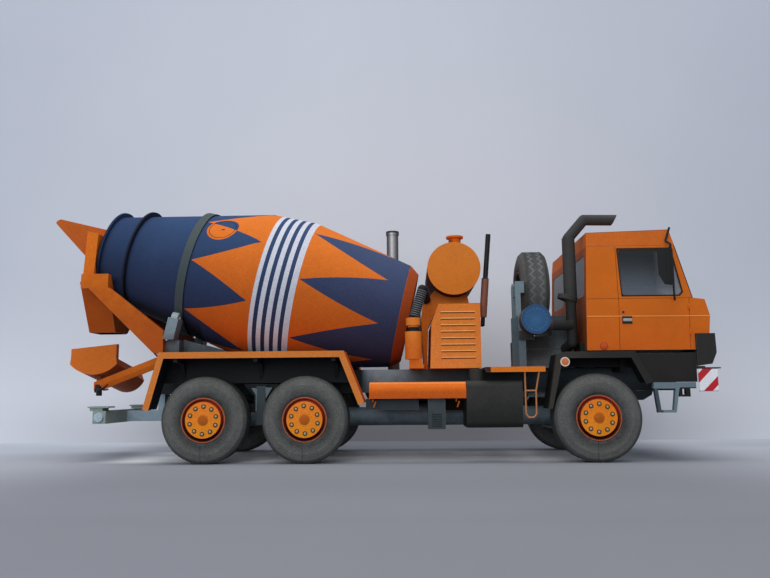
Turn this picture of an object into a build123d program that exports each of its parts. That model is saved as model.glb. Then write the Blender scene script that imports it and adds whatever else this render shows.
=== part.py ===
"""Card model of a three-axle cab-over concrete mixer truck, about 1:32.

Axes: +X forward, +Y to the truck's left, +Z up, millimetres.
The origin is on the table, under the middle of the model's box.
Each sub-part is one STEP file in parts/, named after the sub-part.
"""
from build123d import *
import os
from math import cos, radians, sin

os.makedirs("parts", exist_ok=True)

# ---------------------------------------------------------------- driving sizes
CARD = 1.0                 # thickness of a glued card wall
THIN = 0.6                 # thickness of single card and of the clear film
FIT = 0.05                 # radial play of a stub or pin in its bore
SEAT = 0.02                # gap between a seated flat face and what carries it
ROUND_SEAT = 0.12          # the same between large round faces
MOVE_GAP = 0.3             # gap between a moving piece and what it runs past
EDGE = 1.2                 # rounding of a window's corners

HALF_WIDTH = 39.0          # outer face of tyres and mudguards from the centre
FRONT_AXLE_X = 93.3
MIDDLE_AXLE_X = -25.6
REAR_AXLE_X = -67.3

TYRE_R = 17.8
TYRE_W = 12.0
RIM_R = 9.1
RIM_WALL = 0.9
DISC_R = 7.7               # visible radius of the wheel disc
DISC_DEPTH = 2.3           # how far the wheel disc lies inside the tyre's face
DISC_T = 1.6
HUB_R = 4.6
HUB_END = 10.0             # how far the hub reaches in from the tyre's outer face
STUB_R = 2.0

RAIL_TOP = 38.5            # top of the ladder frame
RAIL_H = 10.0
RAIL_OUT = 14.5            # outer face of a frame rail from the centre
RAIL_FLANGE = 4.0
RAIL_WEB = 1.5
RAIL_REAR_X = -95.0
RAIL_FRONT_X = 133.4

TUBE_R = 4.1               # central backbone tube
DRIVE_R = 6.2              # final drive housing on the tube
BOSS_R = 3.6               # flat boss of the housing that carries a half axle
BOSS_Y = 7.4
HALF_AXLE_R = 2.7
KNUCKLE_R = 2.6
KNUCKLE_H = 13.0

DRUM_TILT = 12.5           # degrees, mouth end higher
DRUM_LIFT = 65.0           # drum axis above the origin, measured square to it
DRUM_WALL = 1.0
MOUTH_S = -138.4           # stations along the drum axis, + towards the cab
BAND_REAR_S = -67.7
BAND_FRONT_S = -47.4
NOSE_S = -0.5
BULKHEAD_S = 3.7
MOUTH_R = 19.3
BELLY_R = 34.6
NOSE_R = 24.0
BULKHEAD_R = 20.7
RING_T = 0.8               # thickness of the two thin rings
MOUTH_RING = 2.1           # how far each ring stands out from the drum
STIFF_RING = 2.3
STIFF_RING_S = -124.6
TRACK_S = -96.3            # middle of the roller track
TRACK_R = 29.5
TRACK_W = 3.6
DRUM_PIN_R = 3.0
DRUM_PIN_L = 5.0
ROLLER_R = 2.6
ROLLER_Y = 22.5
ROLLER_L = 2.8
CHEEK = 0.7                # thickness of the roller housing's cheeks

CAB_INSET = 1.5            # how far the cab sides lie inside the overall width
CAB_HALF = HALF_WIDTH - CAB_INSET
CAB_FLOOR_Z = 44.9
GUTTER_Z = 88.0
MIRROR_REACH = 4.9         # how far the mirror arms stand out from the cab sides
ROOF_Z = (94.2, 95.1)      # height of the roof at the rear and at the front
ROOF_INSET = 1.2           # how far each side leans in above the gutter
ROOF_FALL = (0.4, 1.7)     # how far the rear and the front lean in above the gutter
CAB_REAR = ((90.2, CAB_FLOOR_Z), (90.7, 66.0), (91.6, GUTTER_Z))
CAB_FRONT = ((127.9, GUTTER_Z), (134.1, 66.1), (138.8, 65.5), (140.6, 58.8), (139.9, 51.5))
BUMPER_X = 133.9           # rear face of the bumper
BUMPER_TOP = 51.4

TANK_R = 11.6              # water tank across the truck
TANK_X = 37.3
TANK_Z = 82.0
TANK_HALF = 24.0
NECK_X = 38.8              # its filler neck

ENGINE_HALF = 22.0         # outer face of the engine's sides

COVER_X = (26.3, 48.0)     # engine cover on the frame behind the cab
COVER_TOP = 66.2
COVER_HALF = 27.0
STAND_SIDE = 15.5          # outer face of the gearbox stand's sides

GUARD_TOP = 45.7           # top of the rear mudguards
GUARD_IN = 24.0            # their inner edge
GUARD_LIP = 2.6
GUARD_PATH = ((-92.6, 22.3), (-86.5, GUARD_TOP), (-9.7, GUARD_TOP), (-1.2, 24.6))
ARCH_PATH = ((73.4, 21.5), (77.4, 43.4), (81.0, 44.4), (109.0, 44.4), (115.3, 32.1))
ARCH_IN = 25.5
ARCH_LIP = 2.6

CHUTE_X = -127.3           # swivel pin of the chute
CHUTE_TURN = 84.8          # degrees from +X at which the chute is stowed
CHUTE_L = 34.0
CHUTE_BACK = 4.0           # how far the chute reaches behind its pin
CHUTE_PIN_R = 1.3
CHUTE_SIDE = 1.4           # how far the trough's middle lies beside its pin
BAR_TOP = 35.0             # height of the chute's bar over the pin
BAR_RISE = 0.387           # how far the bar rises per unit of length towards the stand
LIP_Z = 50.7               # height of that end at its middle
LIP_L = 2.4                # length of the chute's raised end

FILTER_X = 69.7            # air filter at the right, beside the rack
FILTER_Z = 57.9
FILTER_R = 6.1
SNORKEL_X = 85.9           # upright intake pipe behind the cab
SNORKEL_Y = -30.0
SNORKEL_R = 2.15

SPARE_X = (66.4, 78.4)     # rear and front face of the spare wheel
SPARE_Y = -11.2
SPARE_Z = 72.9
RACK_Y = (-30.5, -13.4)    # outer edge of the rack's near and inner post
RACK_POST = 2.6            # width of each post

WHEELS = (("front", FRONT_AXLE_X), ("middle", MIDDLE_AXLE_X), ("rear", REAR_AXLE_X))
SIDES = (("right", -1), ("left", 1))

DRUM_AXIS = Plane(
    origin=(DRUM_LIFT * sin(radians(DRUM_TILT)), 0, DRUM_LIFT * cos(radians(DRUM_TILT))),
    x_dir=(0, 1, 0), z_dir=(cos(radians(DRUM_TILT)), 0, -sin(radians(DRUM_TILT))))


# ---------------------------------------------------------------- helpers
def block(x0, x1, y0, y1, z0, z1):
    """A box given by its limits on each axis."""
    size = Box(x1 - x0, y1 - y0, z1 - z0)
    return Pos((x0 + x1) / 2, (y0 + y1) / 2, (z0 + z1) / 2) * size


def side_plate(outline, y0, y1):
    """An outline of (x, z) corners, extruded across the truck from y0 to y1."""
    face = Plane.XZ * make_face(Polyline(*outline, close=True))
    return Pos(0, y1, 0) * extrude(face, y1 - y0)


def cross_plate(outline, x0, x1):
    """An outline of (y, z) corners, extruded along the truck from x0 to x1."""
    face = Plane.YZ * make_face(Polyline(*outline, close=True))
    return Pos(x0, 0, 0) * extrude(face, x1 - x0)


def cross_rod(x, z, r, y0, y1):
    """A round rod lying across the truck."""
    return Pos(x, (y0 + y1) / 2, z) * Rot(90, 0, 0) * Cylinder(r, y1 - y0)


def post(x, y, r, z0, z1):
    """An upright round post."""
    return Pos(x, y, (z0 + z1) / 2) * Cylinder(r, z1 - z0)


def rod(a, b, r):
    """A straight round rod from point a to point b."""
    line = Vector(*b) - Vector(*a)
    return Plane(origin=a, z_dir=line) * Pos(0, 0, line.length / 2) * Cylinder(r, line.length)


def bent_rod(points, r):
    """Straight round rods through the points, rounded off where they meet."""
    body = rod(points[0], points[1], r)
    for a, b in zip(points[1:], points[2:]):
        body += Pos(*a) * Sphere(r)
        body += rod(a, b, r)
    return body


def shifted(path, gap):
    """The open path of (x, z) corners moved gap to its right, with mitred corners."""
    points = [Vector(x, z) for x, z in path]
    runs = [(b - a).normalized() for a, b in zip(points, points[1:])]
    rights = [Vector(run.Y, -run.X) for run in runs]
    moved = [points[0] + rights[0] * gap]
    for corner, before, after in zip(points[1:], rights, rights[1:]):
        moved.append(corner + (before + after) * (gap / (1 + before.dot(after))))
    moved.append(points[-1] + rights[-1] * gap)
    return [(p.X, p.Y) for p in moved]


def strip(path, depth):
    """The outline of a strip of card that follows the path, depth to its right."""
    return [*path, *reversed(shifted(path, depth))]


def group(*shapes):
    """Separate solids that share one sub-part."""
    return Compound(children=[solid for shape in shapes for solid in shape.solids()])


def both_sides(shape):
    """The shape and its mirror image across the truck's middle plane."""
    return group(shape, mirror(shape, Plane.XZ))


def turned(profile):
    """A solid turned round the drum's axis from (radius, station) corners."""
    face = Plane.XZ * make_face(Polyline(*profile, close=True))
    return DRUM_AXIS * revolve(face, Axis.Z)


def save(name, shape):
    """Write one sub-part."""
    export_step(shape, f"parts/{name}.step")


# ---------------------------------------------------------------- wheels
def tyre():
    """A tyre round the Y axis, its outer face at y = 0 and its inner at TYRE_W."""
    bead = RIM_R + FIT
    shoulder = TYRE_R - 1.4
    half = [(bead, 0.5), (bead + 1.0, 0.0), (shoulder - 2.4, 0.0), (shoulder, 0.7), (TYRE_R, 2.2)]
    profile = half + [(r, TYRE_W - y) for r, y in reversed(half)]
    return revolve(make_face(Polyline(*profile, close=True)), Axis.Y)


def rim():
    """A wheel rim with its recessed disc and the hub behind it."""
    inner = RIM_R - RIM_WALL
    disc_back = DISC_DEPTH + DISC_T
    profile = [
        (0, DISC_DEPTH), (DISC_R, DISC_DEPTH), (RIM_R - 0.5, 0.2), (RIM_R, 0.2), (RIM_R, TYRE_W - 0.5),
        (inner, TYRE_W - 0.5), (inner, disc_back), (HUB_R, disc_back), (HUB_R, HUB_END),
        (STUB_R + FIT, HUB_END), (STUB_R + FIT, disc_back), (0, disc_back)]
    return revolve(make_face(Polyline(*profile, close=True)), Axis.Y)


def place_wheel(shape, axle_x, side):
    """Turn a wheel's outer face outward and set it on its axle."""
    facing = shape if side < 0 else Rot(0, 0, 180) * shape
    return Pos(axle_x, side * HALF_WIDTH, TYRE_R) * facing


def place_spare(shape):
    """Stand a wheel across the truck's length, its disc facing the rear."""
    return Pos(SPARE_X[0], SPARE_Y, SPARE_Z) * Rot(0, 0, -90) * shape


# ---------------------------------------------------------------- chassis
def ladder_frame():
    """Two channel rails, open to the inside, joined by cross members."""
    z0, z1 = RAIL_TOP - RAIL_H, RAIL_TOP
    web = RAIL_OUT - RAIL_WEB
    rail = block(RAIL_REAR_X, RAIL_FRONT_X, -RAIL_OUT, -RAIL_OUT + RAIL_FLANGE, z0, z1)
    rail -= block(RAIL_REAR_X - 1, RAIL_FRONT_X + 1, -web, 0, z0 + RAIL_WEB, z1 - RAIL_WEB)
    frame = rail + mirror(rail, Plane.XZ)
    ends = (RAIL_REAR_X + 2, RAIL_FRONT_X - 2)
    for x in (*ends, REAR_AXLE_X, MIDDLE_AXLE_X, 12.0, 58.0, FRONT_AXLE_X):
        frame += block(x - 2, x + 2, -web, web, z0 + RAIL_WEB, z1 - RAIL_WEB)
    return frame


def spring_hangers():
    """The front spring hangers under the frame rails."""
    top = RAIL_TOP - RAIL_H - SEAT
    outline = [(108.0, top), (122.8, top), (122.2, 26.6), (118.4, 24.4), (108.0, 24.4)]
    return both_sides(side_plate(outline, -RAIL_OUT - 1.0, -RAIL_OUT + 2.0))


def backbone():
    """The central tube, a final drive on each axle and the saddles up to the frame."""
    reach = FRONT_AXLE_X - REAR_AXLE_X + 36.0
    tube = Pos((FRONT_AXLE_X + REAR_AXLE_X) / 2, 0, TYRE_R) * Rot(0, 90, 0) * Cylinder(TUBE_R, reach)
    for _, x in WHEELS:
        tube += Pos(x, 0, TYRE_R) * Rot(0, 90, 0) * Cylinder(DRIVE_R, 13.0)
        tube += cross_rod(x, TYRE_R, BOSS_R, -BOSS_Y, BOSS_Y)
        tube += block(x - 2.5, x + 2.5, -3.0, 3.0, TYRE_R, RAIL_TOP - RAIL_H + RAIL_WEB - SEAT)
    return tube


def half_axle(x, end_y):
    """One half axle, from the final drive out to end_y."""
    return cross_rod(x, TYRE_R, HALF_AXLE_R, BOSS_Y + SEAT, end_y)


def stub(x, start_y):
    """A wheel stub with its shoulder, from start_y out into the wheel's hub."""
    shoulder_y = HALF_WIDTH - HUB_END - MOVE_GAP
    end_y = HALF_WIDTH - DISC_DEPTH - DISC_T - MOVE_GAP
    return cross_rod(x, TYRE_R, HALF_AXLE_R, start_y, shoulder_y) + cross_rod(
        x, TYRE_R, STUB_R, shoulder_y, end_y)


KNUCKLE_Y = HALF_WIDTH - TYRE_W - 4.0


def half_axles():
    """The six half axles, the four rear ones with their wheel stubs."""
    flange_y = HALF_WIDTH - TYRE_W - 1.0
    axles = [half_axle(FRONT_AXLE_X, KNUCKLE_Y - KNUCKLE_R - SEAT)]
    for _, x in WHEELS[1:]:
        axles.append(half_axle(x, flange_y) + stub(x, flange_y))
    return both_sides(group(*axles))


def steering_gear():
    """The front steering knuckles with their wheel stubs, and the track rod between them."""
    y = KNUCKLE_Y
    housing = post(FRONT_AXLE_X, y, KNUCKLE_R, TYRE_R - KNUCKLE_H / 2, TYRE_R + KNUCKLE_H / 2)
    rod_z = TYRE_R - TUBE_R - 1.4
    arm = block(FRONT_AXLE_X - 12.0, FRONT_AXLE_X, y - 1.2, y + 1.2, rod_z - 0.8, rod_z + 0.8)
    rod_end = y - 1.2 - SEAT
    track_rod = cross_rod(FRONT_AXLE_X - 11.0, rod_z, 0.8, -rod_end, rod_end)
    return group(both_sides(housing + arm + stub(FRONT_AXLE_X, y)), track_rod)


SPRING_Y = (20.6, 24.0)    # inner and outer face of the rear leaf springs
SPRING_X = (MIDDLE_AXLE_X + REAR_AXLE_X) / 2
LEAF_T = 1.2
LEAF_HALF_LENGTHS = (23.4, 17.0, 11.0)


def rear_springs():
    """Stacked leaves on each side, their ends over the middle and rear half axles."""
    z = TYRE_R + HALF_AXLE_R + SEAT
    leaf = None
    for half in LEAF_HALF_LENGTHS:
        layer = block(SPRING_X - half, SPRING_X + half, *SPRING_Y, z, z + LEAF_T)
        leaf = layer if leaf is None else leaf + layer
        z += LEAF_T
    return both_sides(leaf)


def spring_brackets():
    """The brackets that hold the springs to the frame rails, with a tie strap outside."""
    top = TYRE_R + HALF_AXLE_R + SEAT + LEAF_T * len(LEAF_HALF_LENGTHS) + SEAT
    x0, x1 = SPRING_X - 3.0, SPRING_X + 3.0
    saddle = block(x0, x1, RAIL_OUT + SEAT, SPRING_Y[1], top, RAIL_TOP - RAIL_H + 4.0)
    strap_y = SPRING_Y[1] + SEAT
    strap = block(SPRING_X - 1.9, SPRING_X + 1.9, strap_y, strap_y + 1.2, 15.4, RAIL_TOP - RAIL_H + 4.0)
    gusset = side_plate(
        [(x0 - 4.5, 32.4), (x1 + 4.5, 32.4), (x1, 27.4), (x0, 27.4)], RAIL_OUT + SEAT, SPRING_Y[1])
    top_plate = block(x0, x1, RAIL_OUT + SEAT, strap_y + 1.2, 31.0, 32.5)
    return both_sides(saddle + strap + gusset + top_plate)


def rear_mudguards():
    """Trapezoid arches over the tandem wheels: a bent plate with a turned-down outer lip."""
    plate = side_plate(strip(GUARD_PATH, CARD), -HALF_WIDTH, -GUARD_IN)
    lip = side_plate(strip(GUARD_PATH, GUARD_LIP), -HALF_WIDTH, -HALF_WIDTH + THIN)
    return plate + lip


STRUTS_X = (-80.0, SPRING_X, -14.0)


def mudguard_struts():
    """Cross plates that carry the rear mudguards from the frame rails."""
    under = GUARD_TOP - CARD - SEAT
    rail = RAIL_OUT + SEAT
    outline = [
        (-rail, 33.0), (-rail, RAIL_TOP - 0.5), (-GUARD_IN + 1.5, RAIL_TOP - 0.5),
        (-GUARD_IN - 1.5, under), (-HALF_WIDTH + 1.5, under), (-HALF_WIDTH + 1.5, under - 3.0),
        (-GUARD_IN - 4.0, under - 3.6), (-GUARD_IN, 33.0)]
    return group(*[both_sides(cross_plate(outline, x - 0.8, x + 0.8)) for x in STRUTS_X])


def front_mudguards():
    """The bent arches over the front wheels, with a flat outer lip and a rubber stop on top."""
    plate = side_plate(strip(ARCH_PATH, CARD), -HALF_WIDTH, -ARCH_IN)
    lip_path = shifted(ARCH_PATH, 0)
    inner = shifted(ARCH_PATH, ARCH_LIP)
    inner[0] = (lip_path[0][0] + 1.6, lip_path[0][1])
    lip = side_plate([*lip_path, *reversed(inner)], -HALF_WIDTH, -HALF_WIDTH + THIN)
    stop = block(88.4, 90.1, -33.5, -27.5, ARCH_PATH[2][1] - CARD / 2, 48.4)
    carrier = block(106.0, 108.0, -ARCH_IN - 1.5, -RAIL_OUT - SEAT, 36.5, RAIL_TOP)
    carrier += block(106.0, 108.0, -ARCH_IN - 1.5, -ARCH_IN, 36.5, ARCH_PATH[2][1] - CARD / 2)
    return plate + lip + stop + carrier


JAW_X = -120.4             # towing eye behind the rear beam
JAW_R = 1.1


def tail_beam():
    """The rear cross beam on its short centre beam, with a tube along it."""
    beam = block(-118.0, -112.4, -27.5, 27.5, 16.2, 21.6)
    centre = block(-112.4, REAR_AXLE_X - 18.0 - SEAT, -3.6, 3.6, 16.4, 21.2)
    riser = block(-98.0, -95.0 - SEAT, -3.6, 3.6, 21.2, 33.0)
    riser += block(-98.0, -95.0 - SEAT, -12.0, 12.0, 30.0, 33.0)
    tube = cross_rod(-115.2, 18.9, 1.9, -28.6, 28.6)
    jaw = block(JAW_X - 2.2, -118.0, -2.4, 2.4, 17.4, 20.4) - post(JAW_X, 0, JAW_R, 10, 30)
    return beam + centre + riser + tube + jaw


def tail_lamps():
    """A thin plate with a lamp block under it on each end of the rear beam."""
    plate = block(-120.4, -111.4, 20.0, 27.5, 22.9, 23.5)
    lamp = block(-119.6, -114.0, 20.5, 27.0, 21.6 + SEAT, 22.9)
    return both_sides(plate + lamp)


# ---------------------------------------------------------------- side gear
def side_lockers():
    """Long lockers with a rounded upper edge, hung on the frame rails."""
    rail = -RAIL_OUT - SEAT
    box = block(0.8, 40.4, -HALF_WIDTH + 1.0, rail, 26.0, 32.7)
    edges = box.edges().filter_by(Axis.X).sort_by(Axis.Y)[:2].sort_by(Axis.Z)
    return both_sides(fillet(edges[-1], 4.0))


def fuel_tank():
    """A tank with rounded long edges, hung on the right frame rail."""
    box = block(40.6, 63.2, -HALF_WIDTH + 1.0, -RAIL_OUT - SEAT, 14.0, 33.0)
    return fillet(box.edges().filter_by(Axis.X).sort_by(Axis.Y)[:2], 2.5)


def filler():
    """The filler neck on the fuel tank."""
    return post(45.4, -30.0, 2.9, 30.0, 38.0)


def battery_box():
    """A lidded box on the left frame rail."""
    body = block(42.0, 62.0, RAIL_OUT + SEAT, HALF_WIDTH - 2.0, 15.0, 30.5)
    return body + block(41.4, 62.6, RAIL_OUT + SEAT, HALF_WIDTH - 1.4, 30.5, 32.5)


def air_tanks():
    """Two air reservoirs side by side under the left locker, with their saddle."""
    tanks = saddle = block(8.0, 32.0, 21.0, 33.0, 24.6, 26.0 - SEAT)
    for y in (22.6, 31.4):
        tanks += Pos(20.0, y, 21.0) * Rot(0, 90, 0) * Cylinder(3.9, 30.0)
    return tanks + saddle


def under_boxes():
    """The shallow box and the louvred box under the right locker."""
    top = 26.0 - SEAT
    shallow = block(-0.8, 21.0, -34.0, -18.0, 21.4, top)
    louvred = block(24.9, 32.0, -34.0, -24.0, 13.4, top)
    return group(shallow, louvred)


def platforms():
    """Step decks between the side tanks and the front mudguards."""
    deck = block(48.4, 72.6, -HALF_WIDTH, -RAIL_OUT - SEAT, 37.4, RAIL_TOP)
    lip = block(48.4, 72.6, -HALF_WIDTH, -HALF_WIDTH + THIN, 36.4, 37.4)
    return both_sides(deck + lip)


def side_ladders():
    """Wire ladders that hang from the platforms."""
    y = -HALF_WIDTH + 1.2
    top, bottom = 37.4 - SEAT, 18.1
    path = [(64.4, y, top), (64.4, y, bottom + 1.4), (65.4, y, bottom), (67.6, y, bottom),
            (68.6, y, bottom + 1.4), (68.7, y, 28.8), (70.4, y, top)]
    rung = rod((64.4, y, 28.8), (68.7, y, 28.8), 0.35)
    return both_sides(bent_rod(path, 0.35) + rung)


# ---------------------------------------------------------------- machinery
def engine():
    """The air-cooled engine block behind the cab: a low front mass, a taller rear one and the sump."""
    low = block(67.0, 88.0, -ENGINE_HALF, ENGINE_HALF, RAIL_TOP + SEAT, 52.0)
    tall = block(79.0, 88.0, -ENGINE_HALF, ENGINE_HALF, 52.0, 60.8)
    sump = block(70.0, 86.0, -9.5, 9.5, 26.0, RAIL_TOP + SEAT)
    return low + tall + sump


def engine_cover():
    """The louvred cover over the drum's engine, with its sloping rear top corner."""
    x0, x1 = COVER_X
    outline = [(x0, RAIL_TOP + SEAT), (x0 + 0.8, 58.2), (x0 + 4.0, COVER_TOP), (x1, COVER_TOP),
               (x1, RAIL_TOP + SEAT)]
    return side_plate(outline, -COVER_HALF, COVER_HALF)


def water_tank():
    """The water tank across the truck, with its filler neck and flange."""
    tank = cross_rod(TANK_X, TANK_Z, TANK_R, -TANK_HALF, TANK_HALF)
    top = TANK_Z + TANK_R + 4.6
    tank += post(NECK_X, -9.0, 2.8, TANK_Z, top)
    return tank + post(NECK_X, -9.0, 3.9, top, top + 0.9)


def front_stand():
    """The stand that carries the drum's gearbox and the water tank's saddle."""
    x0 = COVER_X[0] - SEAT
    over = COVER_TOP + SEAT
    outline = [(24.0, RAIL_TOP + SEAT), (22.8, 61.3), (23.7, 67.5), (29.6, 74.0), (42.6, 74.0),
               (44.6, over), (x0 + 4.0, over), (x0 - 0.3, 57.0), (25.4, 45.0), (25.4, RAIL_TOP + SEAT)]
    stand = side_plate(outline, -STAND_SIDE, STAND_SIDE)
    return stand - cross_rod(TANK_X, TANK_Z, TANK_R + ROUND_SEAT, -20, 20)


def drum_gearbox():
    """The gearbox on the stand, with the pin that the drum turns on."""
    start = BULKHEAD_S + MOVE_GAP
    case = turned([(0, start), (8.2, start), (8.2, start + 12.0), (0, start + 12.0)])
    case -= block(22.8 - SEAT, 60.0, -20, 20, 30, 90)
    pin = turned([(0, start - DRUM_PIN_L), (DRUM_PIN_R, start - DRUM_PIN_L), (DRUM_PIN_R, start + 1),
                  (0, start + 1)])
    return case + pin


def exhaust():
    """The cover's slim exhaust: muffler, tail pipe and the elbow into the cover."""
    y = -20.0
    pipe = rod((51.2, y, 77.4), (53.0, y, 97.6), 1.1)
    muffler = rod((49.8, y, 60.8), (51.2, y, 77.8), 1.6)
    elbow = bent_rod([(49.8, y, 61.4), (49.6, y, 57.5), (COVER_X[1] + SEAT, y, 57.5)], 0.9)
    return pipe + muffler + elbow


def exhaust_stack():
    """The tall left exhaust stack with its rain collar, on an arm from the frame."""
    x, y = 9.4, 31.0
    stack = post(x, y, 3.0, 36.0, 110.6) + post(x, y, 3.35, 108.6, 110.6)
    arm = block(x - 2.5, x + 2.5, RAIL_OUT + SEAT, y, 34.5, 37.5)
    return stack + arm


def oil_filter():
    """The hydraulic filter canister, its collar and the bracket on the frame."""
    x, y = 19.2, -27.0
    body = post(x, y, 3.6, 42.4, 54.3) + post(x, y, 2.4, 54.3, 56.8) + post(x, y, 3.1, 56.8, 60.0)
    foot = block(17.3, 23.5, -29.6, -11.0, RAIL_TOP + SEAT, 40.2) + block(17.3, 22.8, -29.6, -24.0, 40.2, 42.4)
    return body + foot


def oil_hose():
    """The stiff corrugated hose from the filter's collar up to the stand."""
    points = [(19.8, -27.0, 60.4), (23.3, -26.0, 72.6), (25.2, -STAND_SIDE - SEAT - 0.6, 69.2)]
    return bent_rod(points, 2.0) - post(19.2, -27.0, 6, 50, 60.0 + SEAT)


# ---------------------------------------------------------------- spare wheel and intake
def spare_rack():
    """Two posts and their cross bars, which hold the spare wheel upright behind the cab."""
    x1 = SPARE_X[0] - SEAT
    near, inner = RACK_Y
    rack = block(60.8, x1, near, near + RACK_POST, RAIL_TOP + SEAT, 59.2)
    rack += block(62.7, 64.8, near, near + RACK_POST, 59.2, 74.9)
    rack += block(63.6, x1, inner, inner + RACK_POST, RAIL_TOP + SEAT, 74.9)
    rack += block(63.6, x1, near, inner + RACK_POST, RAIL_TOP + SEAT, 41.0)
    rack += block(64.0, x1, near, inner + RACK_POST, 70.0, 74.9)
    hub = Pos(64.0, SPARE_Y, SPARE_Z) * Rot(0, 90, 0)
    length = SPARE_X[0] + DISC_DEPTH - SEAT - 64.0
    return rack + hub * Pos(0, 0, length / 2) * Cylinder(3.5, length)


def air_filter():
    """The round air filter at the right, its case and the strap to the rack."""
    case = cross_rod(FILTER_X, FILTER_Z, FILTER_R, -38.6, -31.0)
    return case + block(63.6, FILTER_X, -32.2, RACK_Y[0] - SEAT, 50.0, 53.6)


def snorkel():
    """The intake: a raised pipe, its bend over the cab roof and the pipe to the filter."""
    x, y, r = SNORKEL_X, SNORKEL_Y, SNORKEL_R
    lower = post(x, y, r, 48.4, 67.0) + Pos(x, y, 48.4) * Sphere(r)
    lower += rod((x, y, 48.4), (x - 1.7, -ENGINE_HALF - SEAT - 1.2, 46.4), r)
    upper = post(x, y, r + 0.55, 66.0, 93.2)
    clamp = Pos(x - 1.3, y, 67.4) * Rot(0, 16, 0) * Cylinder(4.2, 1.8)
    bend = bent_rod([(x, y, 92.0), (x, y, 93.2), (92.8, y, 101.1), (108.0, y, 100.8)], r + 0.15)
    bend -= Pos(106.9, y, 103.2) * Rot(0, 28, 0) * Pos(5, 0, 0) * Box(10, 8, 16)
    feed = rod((75.0, -34.5, 55.8), (x - 0.4, y - 1.0, 55.8), r + 0.05)
    feed -= cross_rod(FILTER_X, FILTER_Z, FILTER_R + SEAT, -40, -30)
    return lower + upper + clamp + bend + feed


# ---------------------------------------------------------------- cab
def window_outline():
    """The side window's (x, z) corners, clockwise from the rear top corner."""
    return [(104.5, 86.6), (125.8, 86.6), (129.7, 68.6), (128.6, 67.5), (105.6, 67.5)]


def cab_side(side):
    """One cab side below the gutter, with its window cut out."""
    bumper = [(CAB_FRONT[-1][0], BUMPER_TOP + SEAT), (BUMPER_X - SEAT, BUMPER_TOP + SEAT),
              (BUMPER_X - SEAT, CAB_FLOOR_Z)]
    outline = [*CAB_REAR, *CAB_FRONT, *bumper]
    wall = side_plate(outline, CAB_HALF - CARD, CAB_HALF)
    opening = side_plate(window_outline(), CAB_HALF - CARD - 1, CAB_HALF + 1)
    opening = fillet(opening.edges().filter_by(Axis.Y), EDGE)
    wall -= opening
    return wall if side > 0 else mirror(wall, Plane.XZ)


def door_glass():
    """The clear film in the side windows."""
    face = Plane.XZ * make_face(Polyline(*window_outline(), close=True))
    pane = extrude(face, THIN)
    pane = fillet(pane.edges().filter_by(Axis.Y), EDGE)
    pane = offset(pane, -FIT)
    middle = CAB_HALF - CARD / 2
    return both_sides(Pos(0, middle + THIN / 2, 0) * pane)


CAB_IN = CAB_HALF - CARD - SEAT    # what fits between the cab sides reaches this far


def screen_plane():
    """The outer face of the windscreen wall: x across the truck, y up the slope, z forward."""
    (x1, z1), (x0, z0) = CAB_FRONT[:2]
    up = Vector(x1 - x0, 0, z1 - z0).normalized()
    middle = ((x0 + x1) / 2, 0, (z0 + z1) / 2)
    return Plane(origin=middle, x_dir=(0, 1, 0), z_dir=Vector(0, 1, 0).cross(up))


SCREEN = (66.0, 18.4)      # width and height of the windscreen opening


def cab_front():
    """The cab front: windscreen frame, cowl and nose as one bent sheet."""
    sheet = side_plate(strip(CAB_FRONT, CARD), -CAB_IN, CAB_IN)
    opening = screen_plane() * extrude(RectangleRounded(*SCREEN, EDGE), 4, both=True)
    return sheet - opening


def windscreen():
    """The clear film in the windscreen opening."""
    width, height = SCREEN
    shape = RectangleRounded(width - 2 * FIT, height - 2 * FIT, EDGE)
    return screen_plane() * Pos(0, 0, -(CARD + THIN) / 2) * extrude(shape, THIN)


REAR_WINDOW = (8.0, 33.5, 68.0, 85.0)     # inner and outer y, lower and upper z


def rear_window_box(gap):
    """The space of one rear window, less the gap on each side."""
    y0, y1, z0, z1 = REAR_WINDOW
    return (y0 + gap, y1 - gap, z0 + gap, z1 - gap)


def cab_rear():
    """The cab's rear wall with two windows."""
    wall = side_plate(strip(CAB_REAR, CARD), -CAB_IN, CAB_IN)
    opening = block(85, 97, *rear_window_box(0))
    opening = fillet(opening.edges().filter_by(Axis.X), EDGE)
    return wall - opening - mirror(opening, Plane.XZ)


def rear_glass():
    """The clear film in the rear windows."""
    sheet = side_plate(strip(shifted(CAB_REAR, (CARD - THIN) / 2), THIN), 0, CAB_IN)
    window = block(85, 97, *rear_window_box(FIT))
    window = fillet(window.edges().filter_by(Axis.X), EDGE)
    return both_sides(sheet & window)


def roof_block(inset, drop):
    """The roof's outer shape, made smaller by inset all round and drop at the top."""
    rear, front = CAB_REAR[-1][0] + inset, CAB_FRONT[0][0] - inset
    half = CAB_HALF - inset
    base = Plane.XY.offset(GUTTER_Z + SEAT) * Pos((rear + front) / 2, 0) * Rectangle(front - rear, 2 * half)
    x0, x1 = rear + ROOF_FALL[0], front - ROOF_FALL[1]
    z0, z1 = ROOF_Z[0] - drop, ROOF_Z[1] - drop
    slope = Vector(x1 - x0, 0, z1 - z0)
    tilted = Plane(origin=((x0 + x1) / 2, 0, (z0 + z1) / 2), x_dir=slope, z_dir=slope.cross(Vector(0, 1, 0)))
    top = tilted * Rectangle(slope.length, 2 * (half - ROOF_INSET))
    return loft([base.face(), top.face()])


def cab_roof():
    """The roof cap above the gutter, hollow below."""
    return roof_block(0, 0) - roof_block(CARD, CARD)


def cab_floor():
    """The cab floor, between the side, rear and bumper."""
    return block(CAB_REAR[0][0] + CARD + SEAT + 0.02, BUMPER_X - SEAT, -CAB_IN, CAB_IN, CAB_FLOOR_Z, CAB_FLOOR_Z + CARD)


def cab_mounts():
    """Blocks between the frame rails and the cab floor."""
    z = (RAIL_TOP + SEAT, CAB_FLOOR_Z - SEAT)
    return group(*[both_sides(block(x, x + 5.0, 9.5, RAIL_OUT, *z)) for x in (94.0, 126.0)])


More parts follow.
